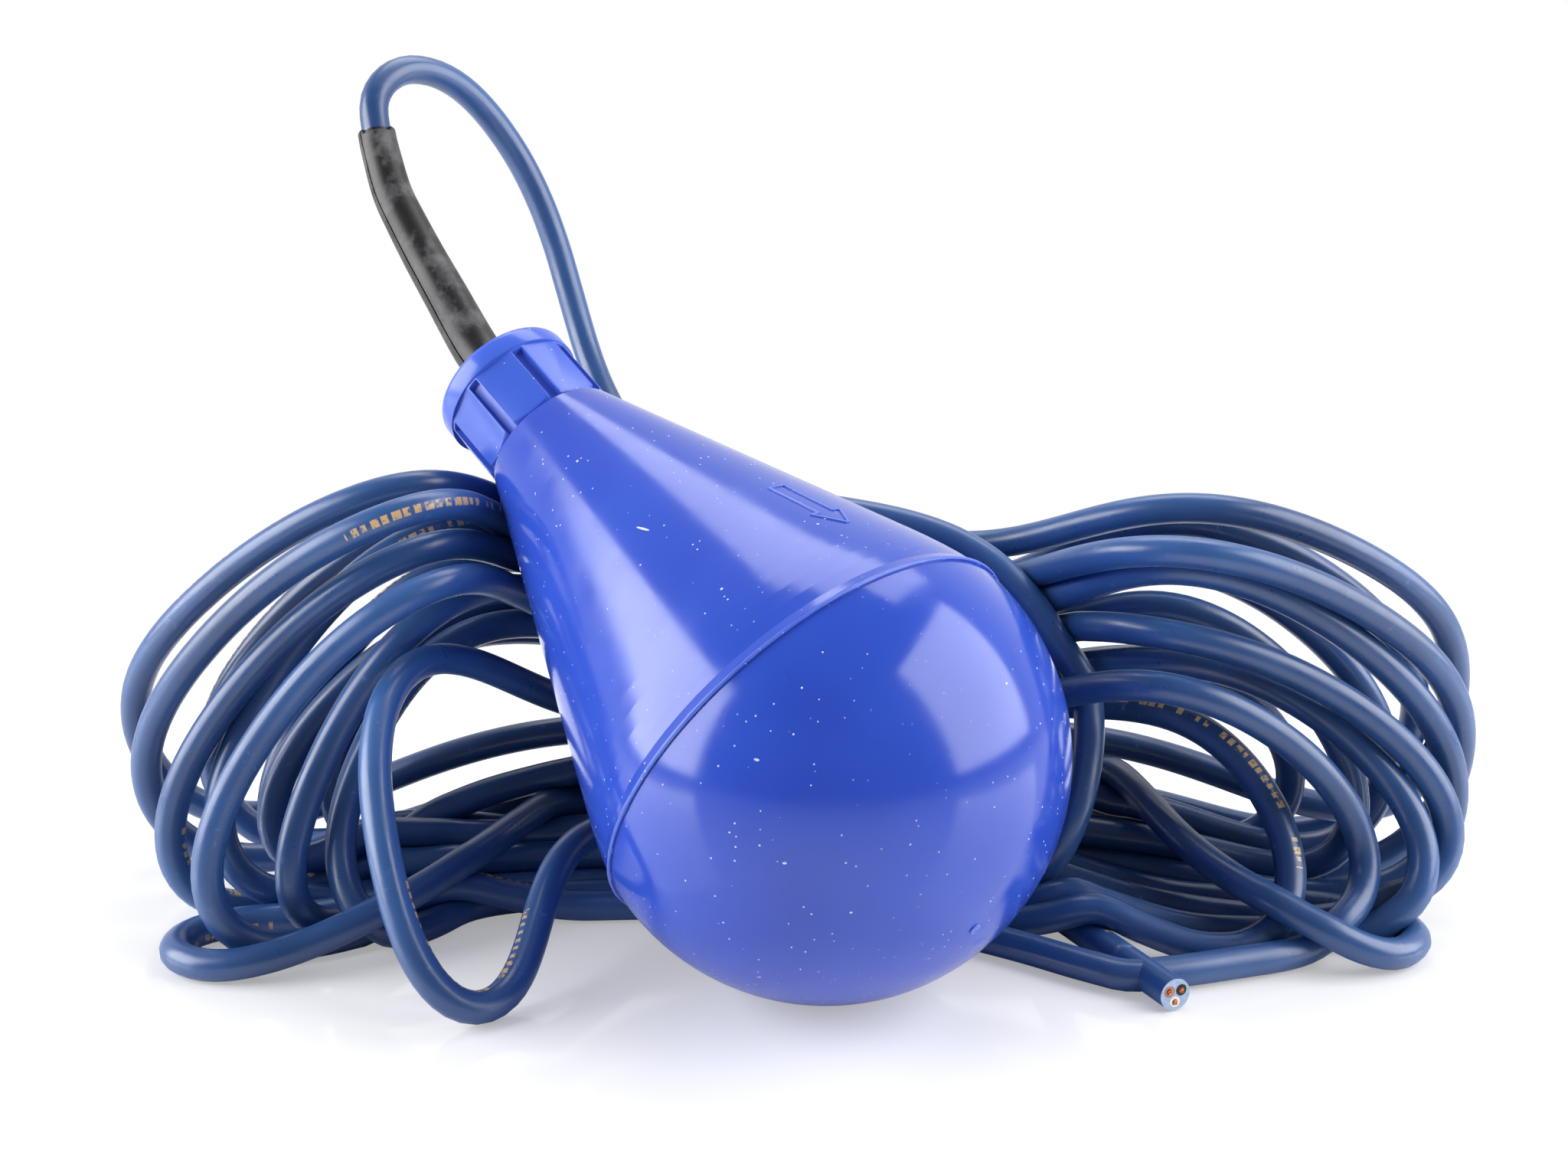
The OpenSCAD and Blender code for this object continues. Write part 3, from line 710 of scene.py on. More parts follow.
@dataclass(frozen=True)
class HankTurn:
    """One turn of the hank, by the places that shape its two sides. Metres, in the layout."""

    low_left: Point
    left_foot: Point
    left_side: Point
    left_top: Point
    high_left: Point
    high_right: Point
    right_top: Point
    right_side: Point
    right_foot: Point
    low_right: Point

    LEFT_ROUNDING = 1.38
    RIGHT_ROUNDING = 1.2
    FOOT_INWARD = 0.14
    LEAST_BACK = 0.050
    LEAST_BACK_ON_FLOOR = 0.036

    @staticmethod
    def between(one: Point, two: Point, share: float) -> Point:
        """Give the point at a share of the way between two."""
        return tuple(a + (b - a) * share for a, b in zip(one, two))

    @classmethod
    def shoulder(cls, top: Point, side: Point, angle: float) -> Point:
        """Give a point of the round shoulder between the top of a side and its furthest reach.

        Args:
            top: The highest point of that side.
            side: Its furthest reach.
            angle: 0 at the reach, 90 at the top, in degrees.

        Returns:
            The point.
        """
        rounding = cls.LEFT_ROUNDING if side[0] < 0.0 else cls.RIGHT_ROUNDING
        across = math.cos(math.radians(angle)) ** rounding
        rise = math.sin(math.radians(angle))
        return (
            top[0] + (side[0] - top[0]) * across,
            side[1] + (top[1] - side[1]) * rise,
            side[2] + (top[2] - side[2]) * rise ** rounding,
        )

    @staticmethod
    def heel(foot: Point, side: Point) -> Point:
        """Give the point where a side turns in towards its foot."""
        return (
            0.28 * foot[0] + 0.72 * side[0],
            0.4 * foot[1] + 0.6 * side[1],
            0.7 * foot[2] + 0.3 * side[2],
        )

    def points(self) -> list[Point]:
        """Lay the turn: along the floor to the left, up and over behind the float, and down on the right.

        Returns:
            Its points in order.
        """
        low = self.between(self.low_left, self.low_right, 0.5)
        least = self.LEAST_BACK_ON_FLOOR if low[2] < 0.008 else self.LEAST_BACK
        back = max(low[1], least)
        high = 0.5 * (self.high_left[1] + self.high_right[1]) + 0.006
        left_foot = self.between(self.left_foot, self.low_left, self.FOOT_INWARD)
        right_foot = self.between(self.right_foot, self.low_right, self.FOOT_INWARD)
        run_out = self.between(self.low_left, left_foot, 0.55)
        over_left = self.between(self.left_top, self.high_left, 0.55)
        return [
            (-0.034, 0.5 * (back + self.low_left[1]) + 0.003, self.between(self.low_left, self.low_right, 0.3)[2]),
            self.low_left,
            (run_out[0], run_out[1], 0.5 * (self.low_left[2] + left_foot[2]) - 0.001),
            left_foot,
            self.heel(left_foot, self.left_side),
            self.left_side,
            self.shoulder(self.left_top, self.left_side, 27.0),
            self.shoulder(self.left_top, self.left_side, 55.0),
            self.left_top,
            (over_left[0], over_left[1], 0.5 * (self.left_top[2] + self.high_left[2]) + 0.0015),
            self.high_left,
            (-0.030, high, self.between(self.high_left, self.high_right, 0.4)[2] - 0.001),
            (0.010, high, self.between(self.high_left, self.high_right, 0.65)[2] - 0.001),
            self.high_right,
            self.right_top,
            self.shoulder(self.right_top, self.right_side, 58.0),
            self.shoulder(self.right_top, self.right_side, 28.0),
            self.right_side,
            self.heel(right_foot, self.right_side),
            right_foot,
            self.between(right_foot, self.low_right, 0.5),
            self.low_right,
            (0.020, 0.7 * back + 0.3 * max(self.low_right[1], 0.012) + 0.003, low[2]),
        ]


HANK_TURNS = (
    HankTurn(
        low_left=(-0.075, 0.072, 0.034), left_foot=(-0.146, 0.076, 0.008),
        left_side=(-0.163, 0.072, 0.04), left_top=(-0.088, 0.046, 0.1015),
        high_left=(-0.062, 0.07, 0.094), high_right=(0.038, 0.076, 0.079),
        right_top=(0.077, 0.052, 0.095), right_side=(0.151, 0.073, 0.052),
        right_foot=(0.14, 0.072, 0.012), low_right=(0.068, 0.072, 0.034),
    ),
    HankTurn(
        low_left=(-0.075, 0.074, 0.02), left_foot=(-0.128, 0.07, 0.005),
        left_side=(-0.146, 0.07, 0.03), left_top=(-0.086, 0.068, 0.09),
        high_left=(-0.06, 0.082, 0.082), high_right=(0.038, 0.084, 0.067),
        right_top=(0.075, 0.064, 0.0895), right_side=(0.143, 0.073, 0.042),
        right_foot=(0.126, 0.076, 0.006), low_right=(0.068, 0.076, 0.02),
    ),
    HankTurn(
        low_left=(-0.075, 0.062, 0.026), left_foot=(-0.112, 0.046, 0.005),
        left_side=(-0.128, 0.05, 0.018), left_top=(-0.084, 0.062, 0.08),
        high_left=(-0.06, 0.078, 0.075), high_right=(0.038, 0.078, 0.066),
        right_top=(0.071, 0.052, 0.083), right_side=(0.132, 0.058, 0.032),
        right_foot=(0.116, 0.058, 0.005), low_right=(0.068, 0.064, 0.026),
    ),
    HankTurn(
        low_left=(-0.078, 0.062, 0.016), left_foot=(-0.142, 0.06, 0.006),
        left_side=(-0.154, 0.047, 0.033), left_top=(-0.084, 0.027, 0.1),
        high_left=(-0.066, 0.063, 0.088), high_right=(0.04, 0.068, 0.072),
        right_top=(0.069, 0.028, 0.0905), right_side=(0.146, 0.05, 0.042),
        right_foot=(0.134, 0.054, 0.006), low_right=(0.068, 0.058, 0.016),
    ),
    HankTurn(
        low_left=(-0.08, 0.064, 0.009), left_foot=(-0.12, 0.025, 0.005),
        left_side=(-0.133, 0.029, 0.029), left_top=(-0.085, 0.048, 0.091),
        high_left=(-0.062, 0.073, 0.083), high_right=(0.041, 0.068, 0.066),
        right_top=(0.071, 0.034, 0.0855), right_side=(0.143, 0.041, 0.03),
        right_foot=(0.13, 0.038, 0.005), low_right=(0.066, 0.05, 0.012),
    ),
    HankTurn(
        low_left=(-0.076, 0.056, 0.016), left_foot=(-0.116, 0.04, 0.005),
        left_side=(-0.124, 0.042, 0.026), left_top=(-0.084, 0.056, 0.068),
        high_left=(-0.06, 0.072, 0.066), high_right=(0.042, 0.072, 0.056),
        right_top=(0.071, 0.046, 0.075), right_side=(0.122, 0.044, 0.024),
        right_foot=(0.108, 0.044, 0.005), low_right=(0.066, 0.05, 0.018),
    ),
    HankTurn(
        low_left=(-0.08, 0.05, 0.008), left_foot=(-0.138, 0.028, 0.005),
        left_side=(-0.146, 0.032, 0.021), left_top=(-0.084, 0.033, 0.09),
        high_left=(-0.066, 0.065, 0.079), high_right=(0.044, 0.066, 0.061),
        right_top=(0.067, 0.03, 0.072), right_side=(0.139, 0.029, 0.024),
        right_foot=(0.127, 0.02, 0.005), low_right=(0.065, 0.037, 0.008),
    ),
    HankTurn(
        low_left=(-0.076, 0.042, 0.004), left_foot=(-0.098, 0.011, 0.004),
        left_side=(-0.106, 0.022, 0.022), left_top=(-0.083, 0.048, 0.066),
        high_left=(-0.06, 0.067, 0.064), high_right=(0.046, 0.067, 0.044),
        right_top=(0.077, 0.046, 0.05), right_side=(0.102, 0.02, 0.02),
        right_foot=(0.094, 0.006, 0.004), low_right=(0.062, 0.016, 0.005),
    ),
    HankTurn(
        low_left=(-0.078, 0.066, 0.022), left_foot=(-0.104, 0.058, 0.006),
        left_side=(-0.116, 0.058, 0.026), left_top=(-0.084, 0.066, 0.062),
        high_left=(-0.06, 0.078, 0.058), high_right=(0.046, 0.078, 0.048),
        right_top=(0.073, 0.062, 0.058), right_side=(0.112, 0.06, 0.028),
        right_foot=(0.102, 0.06, 0.006), low_right=(0.064, 0.066, 0.024),
    ),
    HankTurn(
        low_left=(-0.075, 0.05, 0.004), left_foot=(-0.11, 0.013, 0.004),
        left_side=(-0.115, 0.016, 0.018), left_top=(-0.083, 0.035, 0.076),
        high_left=(-0.062, 0.067, 0.071), high_right=(0.046, 0.066, 0.052),
        right_top=(0.076, 0.041, 0.063), right_side=(0.132, 0.021, 0.021),
        right_foot=(0.118, 0.01, 0.004), low_right=(0.064, 0.026, 0.005),
    ),
    HankTurn(
        low_left=(-0.075, 0.036, 0.004), left_foot=(-0.124, 0.007, 0.004),
        left_side=(-0.131, 0.007, 0.023), left_top=(-0.08, 0.021, 0.085),
        high_left=(-0.064, 0.059, 0.07), high_right=(0.046, 0.06, 0.048),
        right_top=(0.067, 0.021, 0.063), right_side=(0.12, 0.026, 0.017),
        right_foot=(0.108, 0.008, 0.004), low_right=(0.06, 0.003, 0.004),
    ),
)


@dataclass
class Lead:
    """The lead: out of the nut, over one high loop, through its hank and out to the cut end. Metres."""

    diameter: float = 0.0068
    nut_top: float = 0.1211
    start_depth: float = 0.002
    spacing: float = 0.0034
    fine_spacing: float = 0.0025
    sides: int = 20
    rounds: int = 300
    easing: int = 14
    ironing: int = 240
    declared_length: float = 8.8

    HIGH_LOOP = (
        (-0.0790, 0.0765, 0.1230), (-0.0870, 0.0830, 0.1355), (-0.0920, 0.0880, 0.1430),
        (-0.0965, 0.0920, 0.1505), (-0.1000, 0.0950, 0.1570), (-0.1025, 0.0985, 0.1640),
        (-0.1045, 0.1020, 0.1710), (-0.1055, 0.1060, 0.1780), (-0.1035, 0.1110, 0.1830),
        (-0.0990, 0.1165, 0.1855), (-0.0930, 0.1220, 0.1845), (-0.0870, 0.1270, 0.1805),
        (-0.0810, 0.1310, 0.1735), (-0.0750, 0.1335, 0.1640), (-0.0700, 0.1340, 0.1535),
        (-0.0660, 0.1330, 0.1425), (-0.0625, 0.1300, 0.1310), (-0.0590, 0.1260, 0.1200),
    )
    OVER_BALL = (
        (-0.0540, 0.1190, 0.1090), (-0.0470, 0.1100, 0.1000), (-0.0370, 0.0990, 0.0940),
        (-0.0250, 0.0880, 0.0910), (-0.0120, 0.0770, 0.0900), (0.0020, 0.0680, 0.0895),
        (0.0170, 0.0620, 0.0880), (0.0310, 0.0595, 0.0840), (0.0440, 0.0540, 0.0770),
        (0.0520, 0.0485, 0.0670), (0.0565, 0.0430, 0.0560), (0.0575, 0.0370, 0.0440),
        (0.0555, 0.0310, 0.0310), (0.0500, 0.0280, 0.0180), (0.0430, 0.0310, 0.0080),
        (0.0330, 0.0390, 0.0036), (0.0180, 0.0485, 0.0050), (0.0000, 0.0580, 0.0110),
    )
    FRONT_LOOP = (
        (-0.0080, 0.0560, 0.0090), (-0.0260, 0.0550, 0.0150), (-0.0420, 0.0500, 0.0200),
        (-0.0510, 0.0360, 0.0230), (-0.0560, 0.0220, 0.0235), (-0.0590, 0.0110, 0.0210),
        (-0.0610, 0.0010, 0.0160), (-0.0615, -0.0080, 0.0100), (-0.0635, -0.0160, 0.0052),
        (-0.0690, -0.0215, 0.0036), (-0.0755, -0.0225, 0.0072), (-0.0810, -0.0200, 0.0155),
        (-0.0850, -0.0150, 0.0270), (-0.0890, -0.0090, 0.0385), (-0.0915, -0.0020, 0.0480),
        (-0.0925, 0.0080, 0.0560), (-0.0910, 0.0180, 0.0630), (-0.0870, 0.0280, 0.0665),
        (-0.0800, 0.0370, 0.0640), (-0.0750, 0.0410, 0.0610), (-0.0630, 0.0520, 0.0500),
        (-0.0460, 0.0640, 0.0420), (-0.0200, 0.0720, 0.0340), (0.0100, 0.0760, 0.0280),
        (0.0400, 0.0760, 0.0255),
    )
    RIGHT_FOLD = (
        (0.0660, 0.0700, 0.0253), (0.0720, 0.0530, 0.0257), (0.0790, 0.0350, 0.0222),
        (0.0890, 0.0220, 0.0168), (0.0990, 0.0140, 0.0124), (0.1100, 0.0080, 0.0074),
        (0.1170, 0.0030, 0.0035), (0.1240, 0.0065, 0.0035), (0.1280, 0.0165, 0.0035),
        (0.1255, 0.0280, 0.0035), (0.1130, 0.0370, 0.0035), (0.0850, 0.0440, 0.0055),
        (0.0610, 0.0470, 0.0100), (0.0430, 0.0515, 0.0122), (0.0260, 0.0565, 0.0110), (0.0080, 0.0620, 0.0080),
        (-0.0140, 0.0680, 0.0060),
    )
    LEFT_FOLD = (
        (-0.0400, 0.0720, 0.0130), (-0.0576, 0.0660, 0.0170), (-0.0640, 0.0540, 0.0190),
        (-0.0716, 0.0400, 0.0200), (-0.0820, 0.0250, 0.0167), (-0.0930, 0.0150, 0.0137),
        (-0.1040, 0.0080, 0.0105), (-0.1150, 0.0030, 0.0080), (-0.1260, 0.0000, 0.0045),
        (-0.1350, 0.0020, 0.0035), (-0.1400, 0.0120, 0.0035), (-0.1360, 0.0235, 0.0035),
        (-0.1210, 0.0320, 0.0035), (-0.0900, 0.0430, 0.0035), (-0.0580, 0.0550, 0.0035),
        (-0.0280, 0.0660, 0.0035), (0.0040, 0.0710, 0.0036), (0.0240, 0.0690, 0.0050),
    )
    END_PIECES = ("cable_end", "end_core_a", "end_core_b", "end_core_c")
    TAIL = (
        (0.0380, 0.0620, 0.0060), (0.0430, 0.0510, 0.0042), (0.0480, 0.0405, 0.0035),
        (0.0540, 0.0270, 0.0035),
    )

    def route(self) -> list[tuple[np.ndarray, float]]:
        """Put the whole route together.

        Returns:
            Stretches of points, each with how firmly it is held, 1 for fixed.
        """
        cut = CutEnd()
        foot = [Layout.on_axis(self.nut_top - self.start_depth), Layout.on_axis(self.nut_top + 0.001)]
        turns: list[Point] = []
        for turn in HANK_TURNS:
            turns += turn.points()
        last = [*self.TAIL, cut.behind(cut.length + 0.005), cut.behind(cut.length)]
        return [
            (np.array([*foot, *self.HIGH_LOOP]), 1.0),
            (np.array(self.OVER_BALL), 0.6),
            (np.array(turns), 0.42),
            (np.array([*self.FRONT_LOOP, *self.RIGHT_FOLD, *self.LEFT_FOLD]), 0.5),
            (np.array(last), 1.0),
        ]

    @staticmethod
    def smooth(points: np.ndarray, grip: np.ndarray, spacing: float) -> tuple[np.ndarray, np.ndarray]:
        """Run an even smooth curve through points.

        Args:
            points: Points to pass through.
            grip: How firmly each is held.
            spacing: Distance between the new points.

        Returns:
            The new points and their grip.
        """
        ends = np.vstack([2 * points[0] - points[1], points, 2 * points[-1] - points[-2]])
        u = np.linspace(0.0, 1.0, 12, endpoint=False)[:, None]
        curve = []
        hold = []
        for k in range(len(points) - 1):
            a, b, c, d = ends[k:k + 4]
            curve.append(b + u / 2 * (c - a) + u**2 / 2 * (2 * a - 5 * b + 4 * c - d) + u**3 / 2 * (3 * b - 3 * c + d - a))
            hold.append(grip[k] + (grip[k + 1] - grip[k]) * u[:, 0])
        dense = np.vstack([*curve, points[-1:]])
        dense_hold = np.concatenate([*hold, grip[-1:]])
        run = np.concatenate([[0.0], np.cumsum(np.linalg.norm(np.diff(dense, axis=0), axis=1))])
        stops = np.linspace(0.0, run[-1], int(round(run[-1] / spacing)) + 1)
        even = np.column_stack([np.interp(stops, run, dense[:, axis]) for axis in range(3)])
        return even, np.interp(stops, run, dense_hold)

    def ease(self, path: np.ndarray, grip: np.ndarray) -> np.ndarray:
        """Round the tight corners of the drawn route where it is held loosely.

        Args:
            path: The even route.
            grip: How firmly each point is held.

        Returns:
            The rounded route.
        """
        share = np.clip((0.6 - grip) / 0.15, 0.0, 1.0)[1:-1, None]
        eased = path.copy()
        for _ in range(self.easing):
            eased[1:-1] += 0.5 * share * (0.5 * (eased[:-2] + eased[2:]) - eased[1:-1])
        return eased

    def settle(self, start: np.ndarray, grip: np.ndarray) -> np.ndarray:
        """Push the turns apart to one diameter, off the float and onto the floor.

        Args:
            start: The route as first drawn.
            grip: How firmly each point is held.

        Returns:
            The settled centreline.
        """
        path = start.copy()
        free = grip < 0.999
        loose = np.clip((0.98 - grip) / 0.3, 0.0, 1.0)
        rest = np.linalg.norm(np.diff(start, axis=0), axis=1)
        gap = self.diameter + 0.00005
        skip = int(math.ceil(2.2 * self.diameter / rest.mean()))
        for lap in range(self.rounds):
            if lap % 5 == 0:
                dots = path @ path.T
                squares = np.diag(dots)
                apart = squares[:, None] + squares[None] - 2 * dots
                one, two = np.nonzero(np.triu(apart < (gap + 0.004) ** 2, skip))
            path[free, 2] -= 0.00003
            path[free] += (start - path)[free] * 0.02 * grip[free, None]
            for _ in range(2):
                span = path[1:] - path[:-1]
                length = np.linalg.norm(span, axis=1)
                shift = ((length - rest) / length * 0.5)[:, None] * span
                path[:-1] += shift * free[:-1, None]
                path[1:] -= shift * free[1:, None]
            for reach, pull in ((1, 0.0875), (3, 0.042)):
                bow = 0.5 * (path[:-2 * reach] + path[2 * reach:]) - path[reach:-reach]
                path[reach:-reach] += pull * bow * free[reach:-reach, None]
                path[:-2 * reach] -= 0.5 * pull * bow * free[:-2 * reach, None]
                path[2 * reach:] -= 0.5 * pull * bow * free[2 * reach:, None]
            if lap > self.rounds - self.ironing:
                for pull in (0.5, -0.52):
                    bow = 0.5 * (path[:-2] + path[2:]) - path[1:-1]
                    path[1:-1] += pull * bow * loose[1:-1, None]
            for _ in range(3):
                self.part(path, one, two, gap, free)
                depth, outward = self.off_float(path)
                press = np.maximum(0.0, 0.5 * self.diameter + 0.00015 - depth)
                path[free] += (outward * press[:, None])[free]
                path[free, 2] = np.maximum(path[free, 2], 0.5 * self.diameter + 0.00002)
        return path

    @staticmethod
    def part(path: np.ndarray, one: np.ndarray, two: np.ndarray, gap: float, free: np.ndarray) -> None:
        """Push pairs of points that are closer than a gap apart, in place.

        Args:
            path: The centreline.
            one: First point of each pair.
            two: Second point of each pair.
            gap: The least distance.
            free: Which points may move.
        """
        span = path[two] - path[one]
        length = np.linalg.norm(span, axis=1) + 1e-12
        lack = gap - length
        hit = lack > 0.0
        step = (span[hit] / length[hit, None]) * (0.8 * lack[hit])[:, None]
        first, second = free[one[hit]].astype(float), free[two[hit]].astype(float)
        total = np.maximum(first + second, 1.0)
        np.add.at(path, two[hit], step * (second / total)[:, None])
        np.add.at(path, one[hit], -step * (first / total)[:, None])

    @staticmethod
    def off_float(path: np.ndarray) -> tuple[np.ndarray, np.ndarray]:
        """Measure how far points are from the float's skin.

        Args:
            path: Points in the layout.

        Returns:
            The distance, below zero inside, and the way out.
        """
        axis = Layout.float_axis()
        offset = path - Layout.on_axis(0.0)
        height = offset @ axis
        side = offset - height[:, None] * axis
        reach = np.linalg.norm(side, axis=1) + 1e-12
        side /= reach[:, None]
        span = np.linalg.norm(offset, axis=1) + 1e-12
        ball = span - Layout.BALL_RADIUS
        slope = (0.045 - 0.0162) / (0.0986 - 0.0206)
        steep = 1.0 / math.hypot(1.0, slope)
        cone = (reach - (0.045 - slope * (height - 0.0206))) * steep
        cone = np.where((height > 0.004) & (height < 0.099), cone, 1.0)
        nut = np.where((height > 0.097) & (height < 0.122), reach - 0.0165, 1.0)
        depth = np.minimum(np.minimum(ball, cone), nut)
        off_cone = side * steep + axis * (slope * steep)
        outward = np.where((depth == ball)[:, None], offset / span[:, None],
                           np.where((depth == cone)[:, None], off_cone, side))
        return depth, outward

    def centreline(self) -> np.ndarray:
        """Work out the settled centreline in the model's frame."""
        stretches = self.route()
        points = np.vstack([part for part, _ in stretches])
        grip = np.concatenate([np.full(len(part), hold) for part, hold in stretches])
        drawn, hold = self.smooth(points, grip, self.spacing)
        settled = self.settle(self.ease(drawn, hold), hold)
        fine, _ = self.smooth(settled, np.ones(len(settled)), self.fine_spacing)
        return Layout.to_row(fine)

    def build(self, fittings: list[bpy.types.Object]) -> bpy.types.Object:
        """Args:
            fittings: The new pieces on it. Not used.

        Returns:
            The lead.
        """
        path = self.centreline()
        length = float(np.linalg.norm(np.diff(path, axis=0), axis=1).sum())
        LOG.info("lead: %d points, %.3f m", len(path), length)
        lead = Mesh.tube("lead", path, np.full(len(path), 0.5 * self.diameter), self.sides)
        Bench.declare(lead, Finish.PRINTED_JACKET, "cable_jacket", "cable_lead", "cable_hank", "cable_loop", "cable_tail")
        tuple(Layout.to_row(Layout.on_axis(self.nut_top))[0])
        return lead


@dataclass(frozen=True)
class CutEnd:
    """The lead's cut end: where it lies, and the fine strands that stand out of its three cores. Metres."""

    length: float = 0.018
    turn: float = math.radians(23.0)
    face: Point = (0.071, -0.013, 0.0035)
    core_pitch_r: float = 0.0016
    strand_r: float = 0.00012
    ring_step: float = 0.00024
    proud: float = 0.00035
    buried: float = 0.004

    def out(self) -> np.ndarray:
        """Give the way out of the cut, in the layout."""
        return np.array([math.sin(self.turn), -math.cos(self.turn), 0.0])

    def behind(self, distance: float) -> np.ndarray:
        """Give the point on the lead's axis at a distance behind the cut, in the layout."""
        return np.array(self.face) - distance * self.out()

    def face_point(self) -> np.ndarray:
        """Give the middle of the cut in the model's frame."""
        return Layout.to_row(np.array(self.face))[0]

    def outward(self) -> np.ndarray:
        """Give the way out of the cut in the model's frame."""
        return self.face_point() - Layout.to_row(self.behind(1.0))[0]

    def spots(self) -> list[tuple[float, float]]:
        """Give each strand's place in the cut: a middle one and two rings in each core."""
        places = []
        for core in range(3):
            angle = math.radians(120.0 * core + 30.0)
            middle = (-self.core_pitch_r * math.cos(angle), self.core_pitch_r * math.sin(angle))
            for ring, count in ((0, 1), (1, 6), (2, 12)):
                for k in range(count):
                    turn = 2.0 * math.pi * (k + 0.5 * ring) / count
                    places.append((middle[0] + ring * self.ring_step * math.cos(turn),
                                   middle[1] + ring * self.ring_step * math.sin(turn)))
        return places

    def strand(self) -> bpy.types.Object:
        """Model one strand: a thin rod whose tip the cutter pinched."""
        Bench.clear()
        bpy.ops.mesh.primitive_cylinder_add(vertices=8, radius=self.strand_r, depth=self.buried,
                                            location=(0.0, 0.0, -0.5 * self.buried))
        rod = Bench.name("strand")
        Bench.set_down(rod, Matrix.Identity(4))
        Bench.open(rod)
        Bench.pick_faces(rod, lambda middle, normal: normal.z > 0.9)
        bpy.ops.mesh.inset(thickness=0.35 * self.strand_r, depth=0.25 * self.strand_r)
        bpy.ops.transform.resize(value=(1.0, 0.55, 1.0), center_override=(0.0, 0.0, 0.0))
        Bench.close()
        return rod

    def build(self) -> bpy.types.Object:
        """Set the strands in the cores and join them.

        Returns:
            The strands as one piece.
        """
        rod = self.strand()
        across = Vector(Layout.to_row(np.array([[0.0, 0.0, 0.0], [math.cos(self.turn), math.sin(self.turn), 0.0]]))[1]
                        - Layout.to_row(np.zeros(3))[0])
        middle, outward = Vector(self.face_point()), Vector(self.outward())
        draw = np.random.default_rng(11)
        rods = []
        for x, y in self.spots():
            copy = bpy.data.objects.new("strand_copy", rod.data.copy())
            bpy.context.scene.collection.objects.link(copy)
            seat = middle + across * x + Vector((0.0, 0.0, y)) + outward * self.proud * draw.uniform(0.2, 1.0)
            turned = Matrix((across, Vector((0.0, 0.0, 1.0)), outward)).transposed().to_4x4()
            spin = Matrix.Rotation(draw.uniform(0.0, math.pi), 4, "Z")
            copy.matrix_world = Matrix.Translation(seat) @ turned @ spin
            rods.append(copy)
        bpy.data.objects.remove(rod)
        Bench.take(rods[0])
        for copy in rods:
            copy.select_set(True)
        bpy.ops.object.join()
        strands = Bench.name("copper_strands")
        bpy.ops.object.transform_apply(location=True, rotation=True, scale=True)
        Bench.smooth(strands)
        return Bench.declare(strands, Finish.COPPER, "copper", "end_wire_a", "end_wire_b", "end_wire_c")


@dataclass
class BendSleeve:
    """The split rubber sleeve that keeps the lead from kinking at the nut. Metres."""

    foot_r: float = 0.0057
    tip_r: float = 0.0044
    bore_r: float = 0.00345
    step: float = 0.0012
    facets: int = 48
    slit_half: float = math.radians(2.4)
    slit_depth: float = 0.0006
    slit_side: Point = (-0.74, -0.66, 0.05)
    tip_step: float = 0.0013
    tip_round: float = 0.00035

    def centreline(self) -> np.ndarray:
        """Give the sleeve's centreline in the layout: the lead's own first stretch."""
        lead = Lead()
        foot = [Layout.on_axis(lead.nut_top - lead.start_depth), Layout.on_axis(lead.nut_top + 0.001)]
        points = np.array([*foot, *lead.HIGH_LOOP[:9]])
        even, _ = lead.smooth(points, np.ones(len(points)), self.step)
        last = int(np.argmin(np.linalg.norm(even - np.array(lead.HIGH_LOOP[6]), axis=1)))
        return even[:last + 1]

    def turns(self) -> np.ndarray:
        """Give the angles around, with the slit's edges and floor close together at zero."""
        slit = np.array([-1.0, -0.6, 0.6, 1.0]) * self.slit_half
        rest = np.linspace(self.slit_half, 2.0 * math.pi - self.slit_half, self.facets)[1:-1]
        return np.concatenate([slit, rest])

    def build(self) -> bpy.types.Object:
        """Sweep the sleeve's wall, round its tip and close it.

        Returns:
            The sleeve.
        """
        path = self.centreline()
        along, _, _ = Mesh.frames(path)
        way = np.array(self.slit_side)
        beside = way - along * (along @ way)[:, None]
        beside /= np.linalg.norm(beside, axis=1)[:, None]
        across = np.cross(along, beside)
        turn = self.turns()
        slit = np.zeros(len(turn))
        slit[1:3] = self.slit_depth
        late = np.where((turn > self.slit_half) & (turn < 1.9), self.tip_step, 0.0)
        ring_way = np.cos(turn)[None, :, None] * beside[:, None] + np.sin(turn)[None, :, None] * across[:, None]
        share = np.linspace(0.0, 1.0, len(path))
        radii = self.foot_r + (self.tip_r - self.foot_r) * share
        rows = [path[i] + ring_way[i] * (radii[i] - slit)[:, None] for i in range(len(path))]
        last = len(path) - 1
        tip = path[last] + along[last] * self.tip_round
        rows.append(tip + ring_way[last] * (self.tip_r - self.tip_round - slit)[:, None])
        rows.append(tip + ring_way[last] * self.bore_r)
        rows += [path[i] + ring_way[i] * self.bore_r for i in range(last, -1, -1)]
        for row, fall in ((last, 1.0), (last + 1, 1.0), (last + 2, 1.0)):
            rows[row] = rows[row] - along[last] * (late * fall)[:, None]
        count, sides = len(rows), len(turn)
        faces = []
        for i in range(count):
            j = (i + 1) % count
            for k in range(sides):
                n = (k + 1) % sides
                faces.append((i * sides + k, i * sides + n, j * sides + n, j * sides + k))
        sleeve = Mesh.new_object("bend_sleeve_split", Layout.to_row(np.vstack(rows)), faces)
        Bench.smooth(sleeve, 32.0)
        return Bench.declare(sleeve, Finish.SLEEVE, "sleeve_rubber", "bend_sleeve")


